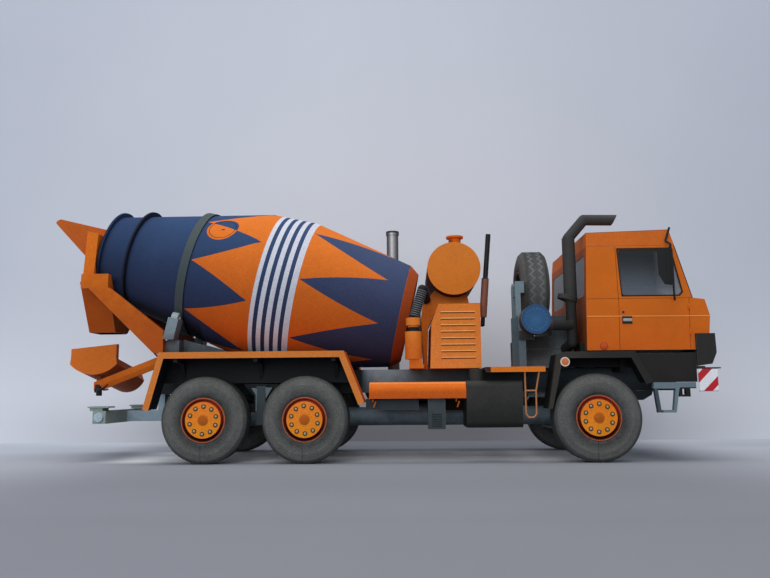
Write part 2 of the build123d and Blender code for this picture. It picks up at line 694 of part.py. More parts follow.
def seats():
    """Two plain seats on the cab floor."""
    z = CAB_FLOOR_Z + CARD + SEAT
    outline = [(97.0, z), (111.0, z), (111.0, z + 9.5), (102.0, z + 8.5), (99.5, z + 29.0), (96.0, z + 29.0)]
    return both_sides(side_plate(outline, 9.5, 27.5))


def dashboard():
    """The dashboard under the windscreen."""
    z = CAB_FLOOR_Z + CARD + SEAT
    front = BUMPER_X - SEAT - 0.3
    outline = [(front - 6.0, z), (front - 7.5, 62.5), (front - 5.0, 64.8), (front - 2.2, 64.8), (front, 60.0), (front, z)]
    return side_plate(outline, -CAB_IN + 0.3, CAB_IN - 0.3)


def steering_wheel():
    """The steering wheel on its column, on the left."""
    plane = Plane(origin=(118.2, 18.5, 66.6), z_dir=(-0.62, 0, 0.78))
    wheel = plane * Torus(5.8, 0.55) + plane * Cylinder(1.3, 1.4)
    for turn in (0, 120, 240):
        wheel += plane * Rot(0, 0, turn) * Pos(2.9, 0, 0) * Box(5.8, 1.0, 0.8)
    end = plane * Pos(0, 0, -12.6)
    return wheel + rod((118.2, 18.5, 66.6), tuple(end.position), 0.9)


def front_bumper():
    """The deep front bumper that closes the cab's lower front."""
    outline = [(BUMPER_X, BUMPER_TOP), (141.6, BUMPER_TOP), (141.8, 43.6), (139.8, 39.0), (BUMPER_X, 38.2)]
    return side_plate(outline, -HALF_WIDTH + 0.4, HALF_WIDTH - 0.4)


def front_skirt():
    """The panel under the cab sill ahead of each front mudguard, and the front valance."""
    side = side_plate(
        [(109.9, 43.6), (BUMPER_X - SEAT, 43.6), (BUMPER_X - SEAT, 31.8), (116.0, 31.8)],
        -CAB_HALF + 0.3, -CAB_HALF + 0.3 + CARD)
    return side


def hazard_plates():
    """Striped marker plates at the bumper's lower corners, on a thin bracket."""
    plate = block(BUMPER_X, 141.5, -HALF_WIDTH + 0.2, -HALF_WIDTH + 0.2 + THIN, 28.0, 37.1)
    bracket = block(BUMPER_X, 142.9, -HALF_WIDTH + 0.2, -HALF_WIDTH + 5.0, 37.1, 37.6)
    ear = block(134.4, 137.4, -HALF_WIDTH + 2.0, -HALF_WIDTH + 5.0, 37.6, 38.2 - SEAT)
    return both_sides(plate + bracket + ear)


def front_steps():
    """Hanging entry steps under the front skirts, and the holed lug behind each."""
    y0, y1 = -HALF_WIDTH + 1.2, -HALF_WIDTH + 3.6
    top = block(116.0, 133.0, y0, y1, 29.2, 31.7)
    legs = side_plate([(116.0, 31.7), (117.3, 31.7), (118.6, 20.6), (123.6, 20.6), (124.9, 30.0),
                       (126.4, 30.0), (124.6, 19.6), (117.4, 19.6)], y0, y1)
    lug = block(126.5, 130.6, y0, y1, 25.9, 29.6) - block(127.4, 128.9, y0 - 1, y1 + 1, 26.8, 29.0)
    return top + legs + lug


def mirrors():
    """Mirror arms beside the windscreen pillars, each with its head."""
    y0, y1 = -CAB_HALF - SEAT, -CAB_HALF - MIRROR_REACH
    path = [(125.6, y0 - 0.4, 86.0), (124.6, y1, 87.6), (124.9, y1, 66.6), (126.6, y0 - 0.4, 65.4)]
    arm = bent_rod(path, 0.4)
    head = Pos(123.2, y1 - 0.3, 78.4) * Rot(0, 0, 35) * Box(4.4, 1.6, 14.6)
    stay = rod((124.2, y0 - 0.5, 90.0), (126.1, y0 - 0.5, 95.6), 0.45) + rod(
        (124.2, y0 - 0.5, 90.0), (124.6, y1, 87.6), 0.45)
    return both_sides(arm + head + stay)


# ---------------------------------------------------------------- drum
def radius_at(s):
    """The drum's outer radius in its rear cone, at station s."""
    share = (s - MOUTH_S) / (BAND_REAR_S - MOUTH_S)
    return MOUTH_R + (BELLY_R - MOUTH_R) * share


def drum_shell():
    """The hollow drum with its open mouth, two thin rings and the pin's hub."""
    w = DRUM_WALL
    outside = [(MOUTH_R, MOUTH_S), (BELLY_R, BAND_REAR_S), (BELLY_R, BAND_FRONT_S), (NOSE_R, NOSE_S),
               (BULKHEAD_R, BULKHEAD_S)]
    inside = [(0, BULKHEAD_S - w), (BULKHEAD_R - w, BULKHEAD_S - w), (NOSE_R - w, NOSE_S - 0.4),
              (BELLY_R - w, BAND_FRONT_S), (BELLY_R - w, BAND_REAR_S), (MOUTH_R - w, MOUTH_S)]
    shell = turned([(0, BULKHEAD_S), *reversed(outside), *reversed(inside)])
    hub_back = BULKHEAD_S - DRUM_PIN_L - 1.0
    shell += turned([(0, hub_back), (DRUM_PIN_R + 2.0, hub_back), (DRUM_PIN_R + 2.0, BULKHEAD_S - 0.5),
                     (0, BULKHEAD_S - 0.5)])
    shell -= turned([(0, hub_back + 1.0), (DRUM_PIN_R + FIT, hub_back + 1.0),
                     (DRUM_PIN_R + FIT, BULKHEAD_S + 1.0), (0, BULKHEAD_S + 1.0)])
    for s, out in ((MOUTH_S + RING_T / 2, MOUTH_RING), (STIFF_RING_S, STIFF_RING)):
        r = radius_at(s)
        shell += turned([(r - w / 2, s - RING_T / 2), (r + out, s - RING_T / 2),
                         (r + out, s + RING_T / 2), (r - w / 2, s + RING_T / 2)])
    return shell


def roller_track():
    """The flat steel band that the drum's rollers run on."""
    s0, s1 = TRACK_S - TRACK_W / 2, TRACK_S + TRACK_W / 2
    r0, r1 = radius_at(s0) + ROUND_SEAT, radius_at(s1) + ROUND_SEAT
    return turned([(r0, s0), (TRACK_R, s0), (TRACK_R, s1), (r1, s1)])


def roller_height():
    """Roller centre below the drum's axis, from the track it carries."""
    reach = TRACK_R + MOVE_GAP + ROLLER_R
    return (reach ** 2 - ROLLER_Y ** 2) ** 0.5


def roller_place(side):
    """Where a roller lies, its length along the drum's axis."""
    return DRUM_AXIS * Pos(side * ROLLER_Y, -roller_height(), TRACK_S)


def drum_rollers():
    """The two rollers under the track, with their journals."""
    body = Cylinder(ROLLER_R, ROLLER_L) + Cylinder(0.8, ROLLER_L + 2 * CHEEK)
    return group(*[roller_place(side) * body for _, side in SIDES])


STAND_X = (-93.4, -83.6)    # rear and front face of the roller stand
STAND_HALF = 21.4


def roller_stand():
    """The cross beam on the frame, its sloping gussets and a roller housing at each end."""
    base = RAIL_TOP + SEAT
    x0, x1 = STAND_X
    stand = block(x0, x1, -STAND_HALF, STAND_HALF, 46.2, 52.0)
    stand += block(x0, x1, -RAIL_OUT, RAIL_OUT, base, 46.2)
    gusset = side_plate([(x1, base), (x1, 52.6), (-62.0, 46.6), (-62.0, base)], RAIL_OUT - 3.0, RAIL_OUT)
    stand += gusset + mirror(gusset, Plane.XZ)
    width = ROLLER_L + 2 * CHEEK + 0.3
    for _, side in SIDES:
        place = roller_place(side)
        housing = place * Pos(side * 0.3, -5.1, 0) * Box(6.6, 9.6, width)
        housing -= block(x0, x1, -40, 40, 30, 52.0)
        stand += housing
        stand -= place * Cylinder(ROLLER_R + 0.25, ROLLER_L + 0.3)
        stand -= place * Cylinder(0.8 + FIT, width + 2)
    cone = width / 2 + 0.3
    stand -= turned([(0, TRACK_S - cone), (TRACK_R + MOVE_GAP, TRACK_S - cone),
                     (TRACK_R + MOVE_GAP, TRACK_S + cone), (0, TRACK_S + cone)])
    return stand


# ---------------------------------------------------------------- loading and discharge
HOPPER_HALF = 14.6         # outer face of the hopper's sides at the drum
HOPPER_TIP_HALF = 18.6     # the same at the tip
ARM_HALF = 22.0            # outer face of the hopper's arms
BRACE_Y = (STAND_HALF + SEAT, 25.0)


def hopper_prism(half_tip, half_mouth, profile):
    """The hopper's side profile made solid and narrowed in plan towards the drum."""
    solid = side_plate(profile, -half_tip, half_tip)
    plan = [(-150.0, -half_tip), (-141.0, -half_tip), (-122.0, -half_mouth), (-105.0, -half_mouth),
            (-105.0, half_mouth), (-122.0, half_mouth), (-141.0, half_tip), (-150.0, half_tip)]
    return solid & extrude(Plane.XY.offset(70) * make_face(Polyline(*plan, close=True)), 60)


def hopper():
    """The loading hopper: two sides that narrow into the drum's mouth, and a sloping back."""
    outside = [(-142.9, 106.2), (-142.3, 107.3), (-140.6, 107.9), (-114.6, 102.2), (-117.6, 84.6),
               (-123.8, 84.6)]
    inside = [(-141.4, 106.6), (-141.4, 112.0), (-112.0, 112.0), (-112.0, 85.6), (-123.3, 85.6)]
    body = hopper_prism(HOPPER_TIP_HALF, HOPPER_HALF, outside)
    return body - hopper_prism(HOPPER_TIP_HALF - CARD, HOPPER_HALF - CARD, inside)


def drum_room(gap):
    """The space the turning mouth end of the drum and its rings need, with gap all round."""
    length = 60.0
    start, radius = MOUTH_S - gap, MOUTH_R + max(MOUTH_RING, STIFF_RING) + gap
    slope = (BELLY_R - MOUTH_R) / (BAND_REAR_S - MOUTH_S)
    end = start + length
    return turned([(0, start), (radius, start), (radius + slope * length, end), (0, end)])


def hopper_arms():
    """The arms that hold the hopper, the blocks under them, the long braces and thin struts."""
    arm = side_plate([(-126.4, 101.4), (-121.6, 100.2), (-122.9, 81.0), (-127.7, 81.0)],
                     HOPPER_HALF + SEAT, ARM_HALF)
    arm -= hopper_prism(HOPPER_TIP_HALF + SEAT, HOPPER_HALF + SEAT,
                        [(-150, 70), (-150, 120), (-100, 120), (-100, 70)])
    corner = block(-127.1, -115.0, 18.6, 25.0, 75.1, 81.4)
    brace = side_plate([(-123.7, 75.2), (-114.6, 75.2), (-89.6, 55.8), (-89.6, 46.3),
                        (-93.9, 46.3)], *BRACE_Y)
    strut = rod((-100.6, BRACE_Y[0] + 0.8, 53.0), (STAND_X[0] - 0.3, 13.6, 43.4), 0.45)
    return both_sides(arm + corner + brace + strut - drum_room(0.5))


def discharge_section(z, rear, front, half, cut_x, cut_y, inset):
    """One level section of the discharge box, with its front corners cut off."""
    x0, x1, y = rear + inset, front - inset, half - inset
    corners = [(x0, -y), (x1 - cut_x, -y), (x1, cut_y - y), (x1, y - cut_y), (x1 - cut_x, y), (x0, y)]
    return Plane.XY.offset(z) * make_face(Polyline(*corners, close=True))


def discharge_box():
    """The open box below the drum's mouth that narrows down to the chute."""
    low, high = (-130.6, -115.8, 6.0, 2.6, 4.0), (-130.6, -108.0, 18.4, 10.0, 9.0)
    outside = loft([discharge_section(57.0, *low, 0), discharge_section(79.0, *high, 0)])
    inside = loft([discharge_section(57.0, *low, CARD), discharge_section(79.0, *high, CARD)])
    for z, ends in ((57.0, low), (79.0, high)):
        inside += extrude(discharge_section(z, *ends, CARD), 2.0, both=True)
    return outside - inside - drum_room(0.8)


def chute_bar():
    """The slanting keel-shaped bar from the roller stand down to the chute's swivel pin."""
    top_at_stand = BAR_TOP + BAR_RISE * (STAND_X[0] - CHUTE_X)
    start = Plane(origin=(STAND_X[0] + 3, 0, top_at_stand + 3 * BAR_RISE - 0.54),
                  x_dir=(0, 1, 0), z_dir=(-1, 0, -BAR_RISE))
    section = [(-2.0, -0.5), (2.0, -0.5), (2.0, 2.0), (1.0, 4.0), (-1.0, 4.0), (-2.0, 2.0)]
    bar = start * extrude(make_face(Polyline(*section, close=True)), 45.0)
    bar -= block(STAND_X[0] - SEAT, STAND_X[0] + 20, -5, 5, 20, 70)
    bar -= block(-170, CHUTE_X - 1.8, -5, 5, 10, 60)
    bar += post(CHUTE_X, 0, 2.0, 31.2, 34.4)
    bar -= post(CHUTE_X, 0, CHUTE_PIN_R + FIT, 20, 50)
    return bar


def trough_section(t, half_top, top, half_mid, mid, low, inset):
    """One cross-section of the chute: leaning sides and an arched bottom."""
    half_top, half_mid, low = half_top - inset, half_mid - inset, low + inset
    corners = [(-half_mid, mid), (-half_top, top), (half_top, top), (half_mid, mid)]
    if inset:
        corners[2:2] = [(-half_top, top + 20.0), (half_top, top + 20.0)]
    line = Polyline(*corners)
    arc = ThreePointArc((half_mid, mid), (0, low), (-half_mid, mid))
    return Plane(origin=(t, 0, 0), x_dir=(0, 1, 0), z_dir=(1, 0, 0)) * make_face(line + arc)


def chute():
    """The swivelling discharge chute: a tapering trough with a raised, closed upper end."""
    t0, t1 = -CHUTE_BACK, CHUTE_L - CHUTE_BACK
    near = (11.1, 45.4, 11.5, 42.6, 37.8)
    far = (7.4, 40.0, 9.2, 35.4, 29.6)
    outer = loft([trough_section(t0, *near, 0), trough_section(t1, *far, 0)])
    inner = loft([trough_section(t0, *near, CARD), trough_section(t1 + 0.01, *far, CARD)])
    lip = block(t0, t0 + LIP_L, -near[0], near[0], near[1] - 2.0, 56.0)
    lip -= block(t0 + CARD, t0 + LIP_L + 1, CARD - near[0], near[0] - CARD, 40.0, 60.0)
    lip -= Pos(0, 0, LIP_Z) * Rot(-5.2, 0, 0) * Pos(0, 0, 10) * Box(60, 60, 20)
    closing = block(t0 - 1, t0 + CARD, -20, 20, 20, 80)
    body = outer - (inner - closing) + lip
    body += post(0, -CHUTE_SIDE, CHUTE_PIN_R, 28.0, 38.4) - inner
    return Pos(CHUTE_X, 0, 0) * Rot(0, 0, CHUTE_TURN) * Pos(0, CHUTE_SIDE, 0) * body


# ---------------------------------------------------------------- write the sub-parts
for axle, axle_x in WHEELS:
    for side_name, side in SIDES:
        save(f"tyre_{axle}_{side_name}", place_wheel(tyre(), axle_x, side))
        save(f"rim_{axle}_{side_name}", place_wheel(rim(), axle_x, side))
for side_name, side in SIDES:
    save(f"cab_side_{side_name}", cab_side(side))

SUB_PARTS = {
    "ladder_frame": group(ladder_frame(), cab_mounts(), spring_hangers()),
    "backbone_tube": backbone(),
    "half_axles": half_axles(),
    "steering_gear": steering_gear(),
    "rear_springs": group(rear_springs(), spring_brackets()),
    "rear_mudguards": both_sides(rear_mudguards()),
    "mudguard_struts": mudguard_struts(),
    "front_mudguards": both_sides(front_mudguards()),
    "tail_beam": group(tail_beam(), tail_lamps()),
    "side_boxes": group(side_lockers(), under_boxes(), battery_box()),
    "fuel_tank": fuel_tank() + filler(),
    "air_tanks": air_tanks(),
    "side_steps": group(platforms(), side_ladders()),
    "engine": engine(),
    "engine_cover": engine_cover(),
    "exhausts": group(exhaust(), exhaust_stack()),
    "oil_filter": group(oil_filter(), oil_hose()),
    "front_stand": front_stand(),
    "drum_gearbox": drum_gearbox(),
    "water_tank": water_tank(),
    "spare_rack": spare_rack(),
    "spare_tyre": place_spare(tyre()),
    "spare_rim": place_spare(rim()),
    "air_intake": group(air_filter(), snorkel()),
    "cab_front": cab_front(),
    "cab_rear": cab_rear(),
    "cab_roof": cab_roof(),
    "cab_floor": cab_floor(),
    "cab_glass": group(door_glass(), windscreen(), rear_glass()),
    "seats": seats(),
    "dashboard": group(dashboard(), steering_wheel()),
    "front_bumper": front_bumper(),
    "front_skirts": both_sides(group(front_skirt(), front_steps())),
    "hazard_plates": hazard_plates(),
    "mirrors": mirrors(),
    "drum_shell": drum_shell(),
    "roller_track": roller_track(),
    "drum_rollers": drum_rollers(),
    "roller_stand": roller_stand(),
    "hopper": hopper(),
    "hopper_arms": hopper_arms(),
    "discharge_box": discharge_box(),
    "chute_bar": chute_bar(),
    "chute": chute(),
}
for name, shape in SUB_PARTS.items():
    save(name, shape)
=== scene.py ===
"""Looks of the card model of a three-axle concrete mixer truck.

Shapes are in millimetres until each piece is made, then in metres. A colour is its six-digit code.
"""
import bpy, bmesh
from functools import partialmethod, reduce
from math import cos, pi, radians, sin
from mathutils import Matrix, Vector


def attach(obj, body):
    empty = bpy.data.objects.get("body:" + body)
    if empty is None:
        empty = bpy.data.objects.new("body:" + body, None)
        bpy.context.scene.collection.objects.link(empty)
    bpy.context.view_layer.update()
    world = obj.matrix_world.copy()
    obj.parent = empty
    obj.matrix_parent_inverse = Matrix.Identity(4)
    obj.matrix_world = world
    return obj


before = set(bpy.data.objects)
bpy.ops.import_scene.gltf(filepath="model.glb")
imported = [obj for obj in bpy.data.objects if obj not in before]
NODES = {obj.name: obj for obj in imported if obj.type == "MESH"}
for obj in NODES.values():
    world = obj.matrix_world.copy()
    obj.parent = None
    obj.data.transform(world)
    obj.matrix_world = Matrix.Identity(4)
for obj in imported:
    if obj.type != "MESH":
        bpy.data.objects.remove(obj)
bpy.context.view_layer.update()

MM = 0.001
PER_METRE = 1000

# ------ places, in millimetres and degrees
SIDES = (("right", -1), ("left", 1))
WHEELS = (("front", 93.3, -3), ("middle", -25.6, 3), ("rear", -67.3, -2))    # name, station, its bolts' turn
AXLE_Z = 17.8
TYRE_MIDDLE = 33           # middle of a tyre from the truck's centre
DISC_FACE = 36.7           # outer face of a wheel disc from the truck's centre
CAP_FACE = 38.9            # outer face of the raised wheel cap from the truck's centre
SPARE = (72.4, -11.2, 72.9)
SPARE_FACE = 68.7          # station of the spare wheel's rear face
DRUM_TILT = 12.5
DRUM_LIFT = 65             # height of the drum's axis at the truck's origin
BELLY = 34                 # about the drum's radius at its widest
HATCH_RADIUS = 7.2
HATCH_REACH, HATCH_TURN = 30.8, radians(49.8)
HATCH = (-85.3, -HATCH_REACH * sin(HATCH_TURN), HATCH_REACH * cos(HATCH_TURN))
CAB_FACE = 37.5            # outer face of a cab side from the centre
FILTER_X, FILTER_Z = 69.7, 57.9
STACK_X, STACK_RADIUS, STACK_RIM_Z = 9.4, 3, 109.6
BOLT_CIRCLE, BOLTS = 5.58, 10
SWIVEL = (-127.3, 0, 0)    # upright axis the chute turns about
WALL_Y = 102               # place of the backdrop behind the truck
SHARP = radians(40)        # edges that turn by more stay sharp

# ------ colours used in several places
NEAR_BLACK = "1C1D1F"
FIBRE = "E7D9C8"           # bare card where the print is worn off
ORANGE_WORN = "E9B48C"
STEEL_WORN = "B8C2C6"
CAB_INSIDE = "8C4423"
BROWN = "6A300E"


def paint(code):
    """A colour in linear light from its six-digit code."""
    parts = [int(code[i:i + 2], 16) / 255 for i in (0, 2, 4)]
    linear = [p / 12.92 if p <= 0.04045 else ((p + 0.055) / 1.055) ** 2.4 for p in parts]
    return (*linear, 1)


# ------ wiring of shader nodes
class Wiring:
    """Short calls that place and join shader nodes."""

    def __init__(self, tree):
        self.tree = tree

    def add(self, kind, **settings):
        node = self.tree.nodes.new(kind)
        for name, value in settings.items():
            setattr(node, name, value)
        return node

    def feed(self, socket, value):
        """Link another node's output to a socket, or set its value."""
        if isinstance(value, bpy.types.NodeSocket):
            self.tree.links.new(value, socket)
        else:
            socket.default_value = paint(value) if isinstance(value, str) else value

    def fill(self, node, *values, **named):
        """Feed a node's sockets in their order, then by name: returns its outputs."""
        for socket, value in zip(node.inputs, values):
            self.feed(socket, value)
        for name, value in named.items():
            self.feed(node.inputs[name.replace("_", " ")], value)
        return node.outputs

    def math(self, operation, *values, clamp=False):
        return self.fill(self.add("ShaderNodeMath", operation=operation, use_clamp=clamp), *values)[0]

    plus = partialmethod(math, "ADD")
    less = partialmethod(math, "SUBTRACT")
    times = partialmethod(math, "MULTIPLY")
    over = partialmethod(math, "DIVIDE")
    size = partialmethod(math, "ABSOLUTE")
    larger = partialmethod(math, "MAXIMUM")
    above = partialmethod(math, "GREATER_THAN")
    below = partialmethod(math, "LESS_THAN")

    def gap(self, first, second):
        """How far two values lie apart."""
        return self.size(self.less(first, second))

    def sway(self, value):
        """1 where a value is whole and 0 half way between."""
        return self.gap(self.times(self.math("FRACT", value), 2), 1)

    def turn(self, first, second):
        """The angle of two coordinates, in degrees from the second one's axis."""
        return self.times(self.math("ARCTAN2", first, second), 180 / pi)

    def between(self, value, low, high):
        return self.times(self.above(value, low), self.below(value, high))

    def ramp(self, value, low, high, to_low=0, to_high=1, soft=False):
        node = self.add("ShaderNodeMapRange", interpolation_type="SMOOTHSTEP" if soft else "LINEAR")
        return self.fill(node, value, low, high, to_low, to_high)[0]

    soft = partialmethod(ramp, soft=True)

    def both(self, *masks):
        return reduce(self.times, masks)

    def either(self, *masks):
        return reduce(self.larger, masks)

    def outside(self, mask):
        return self.less(1, mask)

    def vector(self, operation, *values, out="Vector"):
        return self.fill(self.add("ShaderNodeVectorMath", operation=operation), *values)[out]

    dot = partialmethod(vector, "DOT_PRODUCT", out="Value")
    length = partialmethod(vector, "LENGTH", out="Value")
    reach = partialmethod(vector, "DISTANCE", out="Value")

    def mapping(self, vector, turn=(0, 0, 0), kind="POINT", **values):
        """A vector turned by three angles in degrees, then scaled and moved."""
        node = self.add("ShaderNodeMapping", vector_type=kind)
        return self.fill(node, Vector=vector, Rotation=[radians(a) for a in turn], **values)[0]

    def split(self, vector):
        return self.fill(self.add("ShaderNodeSeparateXYZ"), vector)

    def noise(self, vector, scale, detail=2, roughness=0.5):
        node = self.add("ShaderNodeTexNoise")
        return self.fill(node, Vector=vector, Scale=scale, Detail=detail, Roughness=roughness)["Fac"]

    def mix(self, mask, first, second, blend="MIX"):
        """Mix two colours: a mix node takes them at 6 and 7 and gives their mix at 2."""
        node = self.add("ShaderNodeMix", data_type="RGBA", blend_type=blend)
        for place, value in ((0, mask), (6, first), (7, second)):
            self.feed(node.inputs[place], value)
        return node.outputs[2]

    def use(self, group, **values):
        return self.fill(self.add("ShaderNodeGroup", node_tree=group), **values)


def new_group(name, inputs, *outputs):
    """An empty node group: returns its wiring, input sockets and output node's sockets.

    An input is a number, colour or vector, as its value is; None is a linked vector.
    """
    tree = bpy.data.node_groups.new(name, "ShaderNodeTree")
    for label, value in inputs.items():
        kind = {float: "Float", str: "Color"}.get(type(value), "Vector")
        socket = tree.interface.new_socket(label, in_out="INPUT", socket_type="NodeSocket" + kind)
        if value is not None:
            socket.default_value = paint(value) if kind == "Color" else value
    for label in outputs:
        kind = "Color" if label == "Color" else "Float"
        tree.interface.new_socket(label, in_out="OUTPUT", socket_type="NodeSocket" + kind)
    w = Wiring(tree)
    return w, w.add("NodeGroupInput").outputs, w.add("NodeGroupOutput").inputs


def card_surface_group():
    """Printed card: mottled ink, fine speckle, paler worn folds and cut edges, fibre height."""
    w, given, out = new_group("Card Surface", {
        "Point": None, "Color": "FFFFFF", "Wear Color": FIBRE, "Mottle": 0.04, "Speckle": 0.07, "Wear": 0.45,
        "Edge": 0.00022, "Roughness": 0.62}, "Color", "Roughness", "Height")
    p = given["Point"]
    fine = w.noise(p, 3.2, 2, 0.65)
    fibre = w.noise(w.mapping(p, (20, 30, 40), Scale=(1, 3.2, 1)), 1.6, 3, 0.7)
    broad, middle = w.noise(p, 0.09, 3), w.noise(p, 0.55, 3)
    tone = w.plus(w.ramp(broad, 0.3, 0.7, -1, 1), w.ramp(middle, 0.3, 0.7, -0.7, 0.7))
    grain = w.times(w.ramp(fine, 0.25, 0.75, -2, 2), given["Speckle"])
    value = w.plus(w.plus(w.times(tone, given["Mottle"]), grain), 1)
    inked = w.fill(w.add("ShaderNodeHueSaturation"), Value=value, Color=given["Color"])[0]
    rounded = w.fill(w.add("ShaderNodeBevel", samples=4), Radius=given["Edge"])[0]
    turned = w.dot(rounded, w.add("ShaderNodeNewGeometry").outputs["Normal"])
    worn = w.times(w.ramp(turned, 0.985, 0.86), w.ramp(w.noise(p, 0.8, 4, 0.6), 0.36, 0.62, 0.15, 1))
    worn = w.times(worn, given["Wear"])
    w.feed(out["Color"], w.mix(worn, inked, given["Wear Color"]))
    rough = w.plus(given["Roughness"], w.ramp(fibre, 0.3, 0.7, -0.07, 0.07))
    w.feed(out["Roughness"], w.plus(rough, w.times(worn, 0.15)))
    w.feed(out["Height"], w.plus(w.times(fibre, 0.7), w.times(fine, 0.5)))
    return w.tree


def drawn_line_group():
    """A straight printed line from one point to another, with a half width, in the point's units."""
    w, given, out = new_group(
        "Drawn Line", {"Point": None, "From": None, "To": None, "Half Width": 0.2}, "Mask")
    start = w.vector("SUBTRACT", given["Point"], given["From"])
    line = w.vector("SUBTRACT", given["To"], given["From"])
    share = w.over(w.dot(start, line), w.dot(line, line), clamp=True)
    nearest = w.fill(w.add("ShaderNodeVectorMath", operation="SCALE"), line, Scale=share)[0]
    away = w.reach(start, nearest)
    inner, outer = (w.times(given["Half Width"], share) for share in (0.75, 1.25))
    w.feed(out["Mask"], w.ramp(away, inner, outer, 1, 0))
    return w.tree


def print_and_painted_shade_group():
    """Soft shade along one direction, for printed shading and for painted shade: 0 at the start and 1 at the
    end.
    """
    w, given, out = new_group(
        "Print And Painted Shade", {"Point": None, "Direction": (0, 0, 1), "Start": 0.0, "End": 1.0}, "Mask")
    along = w.dot(given["Point"], given["Direction"])
    uneven = w.ramp(w.noise(given["Point"], 0.25, 2), 0.3, 0.7, -0.12, 0.12)
    share = w.over(w.less(along, given["Start"]), w.less(given["End"], given["Start"]))
    w.feed(out["Mask"], w.soft(w.plus(share, uneven), 0, 1))
    return w.tree


def inside_face_group():
    """1 on faces that look towards a centre, and 0 on faces that look away from it."""
    w, given, out = new_group("Inside Face", {"Point": None, "Centre": None, "Normal": None}, "Mask")
    away = w.vector("NORMALIZE", w.vector("SUBTRACT", given["Point"], given["Centre"]))
    w.feed(out["Mask"], w.ramp(w.dot(away, given["Normal"]), -0.05, -0.15))
    return w.tree


def zigzag_group():
    """A boundary that runs to and fro along the drum as the angle goes round: its station at this angle."""
    w, given, out = new_group("Zigzag Edge", {
        "Angle": 0.0, "First Tip": 0.0, "Pitch": 45.0, "Tip Station": 0.0, "Valley Station": 1.0}, "Station")
    turns = w.over(w.less(given["Angle"], given["First Tip"]), given["Pitch"])
    rise = w.outside(w.sway(w.plus(turns, 16)))
    w.feed(out["Station"], w.ramp(rise, 0, 1, given["Tip Station"], given["Valley Station"]))
    return w.tree


CARD_SURFACE = card_surface_group()
DRAWN_LINE = drawn_line_group()
PRINT_AND_PAINTED_SHADE = print_and_painted_shade_group()
INSIDE_FACE = inside_face_group()
ZIGZAG = zigzag_group()


class Finish:
    """A material under construction: its wiring, its point in millimetres and its shader."""

    def __init__(self, name):
        self.material = bpy.data.materials.new(name)
        self.material.use_nodes = True
        tree = self.material.node_tree
        tree.nodes.clear()
        self.w = Wiring(tree)
        self.coordinates = self.w.add("ShaderNodeTexCoord").outputs
        self.normal = self.coordinates["Normal"]
        self.point = self.flat(1, 1, 1)
        self.x, self.y, self.z = self.w.split(self.point)
        self.shader = self.w.add("ShaderNodeBsdfPrincipled")
        self.output = self.w.add("ShaderNodeOutputMaterial")
        self.w.fill(self.output, self.shader.outputs[0])

    def flat(self, *kept):
        """The point in millimetres with each axis kept (1) or left out (0)."""
        return self.w.mapping(self.coordinates["Object"], Scale=[PER_METRE * k for k in kept])

    def placed(self, place, turn=(0, 0, 0)):
        """The point in millimetres, turned by three angles and moved."""
        return self.w.mapping(self.coordinates["Object"], turn, Location=place, Scale=[PER_METRE] * 3)

    def facing(self, axis):
        """How far a face looks along an axis: 0, 1 or 2 for X, Y or Z."""
        return self.w.split(self.normal)[axis]

    def off(self, x, z):
        """The distance from a place, seen from the side."""
        return self.w.reach(self.flat(1, 0, 1), (x, 0, z))

    def shade(self, color, dark, direction, start, end):
        """Fade from color at the start to dark at the end, along a direction."""
        mask = self.w.use(PRINT_AND_PAINTED_SHADE, Point=self.point, Direction=direction, Start=start, End=end)[0]
        return self.w.mix(mask, color, dark)

    def fade(self, color, dark, top, foot):
        """Fade downwards, from color at the top to dark at the foot."""
        return self.shade(color, dark, (0, 0, -1), -top, -foot)

    def lines(self, color, ink, half_width, ends, on=None):
        """Draw straight lines, each given by its two ends as x, z, x, z; on is a mask of where they show."""
        flat = self.flat(1, 0, 1)
        mask = self.w.either(*[self.w.use(DRAWN_LINE, Point=flat, From=(a, 0, b), To=(c, 0, d),
                                          Half_Width=half_width)[0] for a, b, c, d in ends])
        return self.w.mix(mask if on is None else self.w.times(mask, on), color, ink)

    def inside(self, centre):
        return self.w.use(INSIDE_FACE, Point=self.point, Centre=centre, Normal=self.normal)[0]

    def set(self, **values):
        """Feed the shader's own sockets."""
        self.w.fill(self.shader, **values)

    def bump(self, height, strength, distance):
        node = self.w.add("ShaderNodeBump")
        return self.w.fill(node, Height=height, Strength=strength, Distance=distance)[0]

    def done(self, color, roughness=0.68, wear=0.4, mottle=0.04, speckle=0.13, worn=FIBRE, bump=0.25,
             specular=0.16, **levels):
        """Finish as printed card. Further levels are set on the shader's own sockets."""
        surface = self.w.use(CARD_SURFACE, Point=self.point, Color=color, Wear_Color=worn, Mottle=mottle,
                             Speckle=speckle, Wear=wear, Roughness=roughness)
        self.set(Base_Color=surface["Color"], Roughness=surface["Roughness"], Specular_IOR_Level=specular,
                 Normal=self.bump(surface["Height"], bump, 0.00012), **levels)
        return self.material


def card(name, color, **kept):
    """Card of one printed colour."""
    return Finish(name).done(color, **kept)


def dress(finish, *nodes):
    """Give CAD nodes a finish."""
    for node in nodes:
        mesh = NODES[node].data
        mesh.materials.clear()
        mesh.materials.append(finish)


def printed(name, *nodes, worn=ORANGE_WORN, **kept):
    """Dress CAD nodes in card of the colour that the rule below it gives, from the finish and its wiring."""
    def apply(rule):
        f = Finish(name)
        dress(f.done(rule(f, f.w), worn=worn, **kept), *nodes)
        return rule
    return apply


# ------ shaping
def matrix_to(centre, axis):
    """Place a shape whose own axis is Z at a centre, its axis along another direction."""
    turn = Vector((0, 0, 1)).rotation_difference(Vector(axis))
    return Matrix.Translation(centre) @ turn.to_matrix().to_4x4()


def faces_of(verts):
    return list({face for vert in verts for face in vert.link_faces})


def tint(faces, index):
    for face in faces:
        face.material_index = index


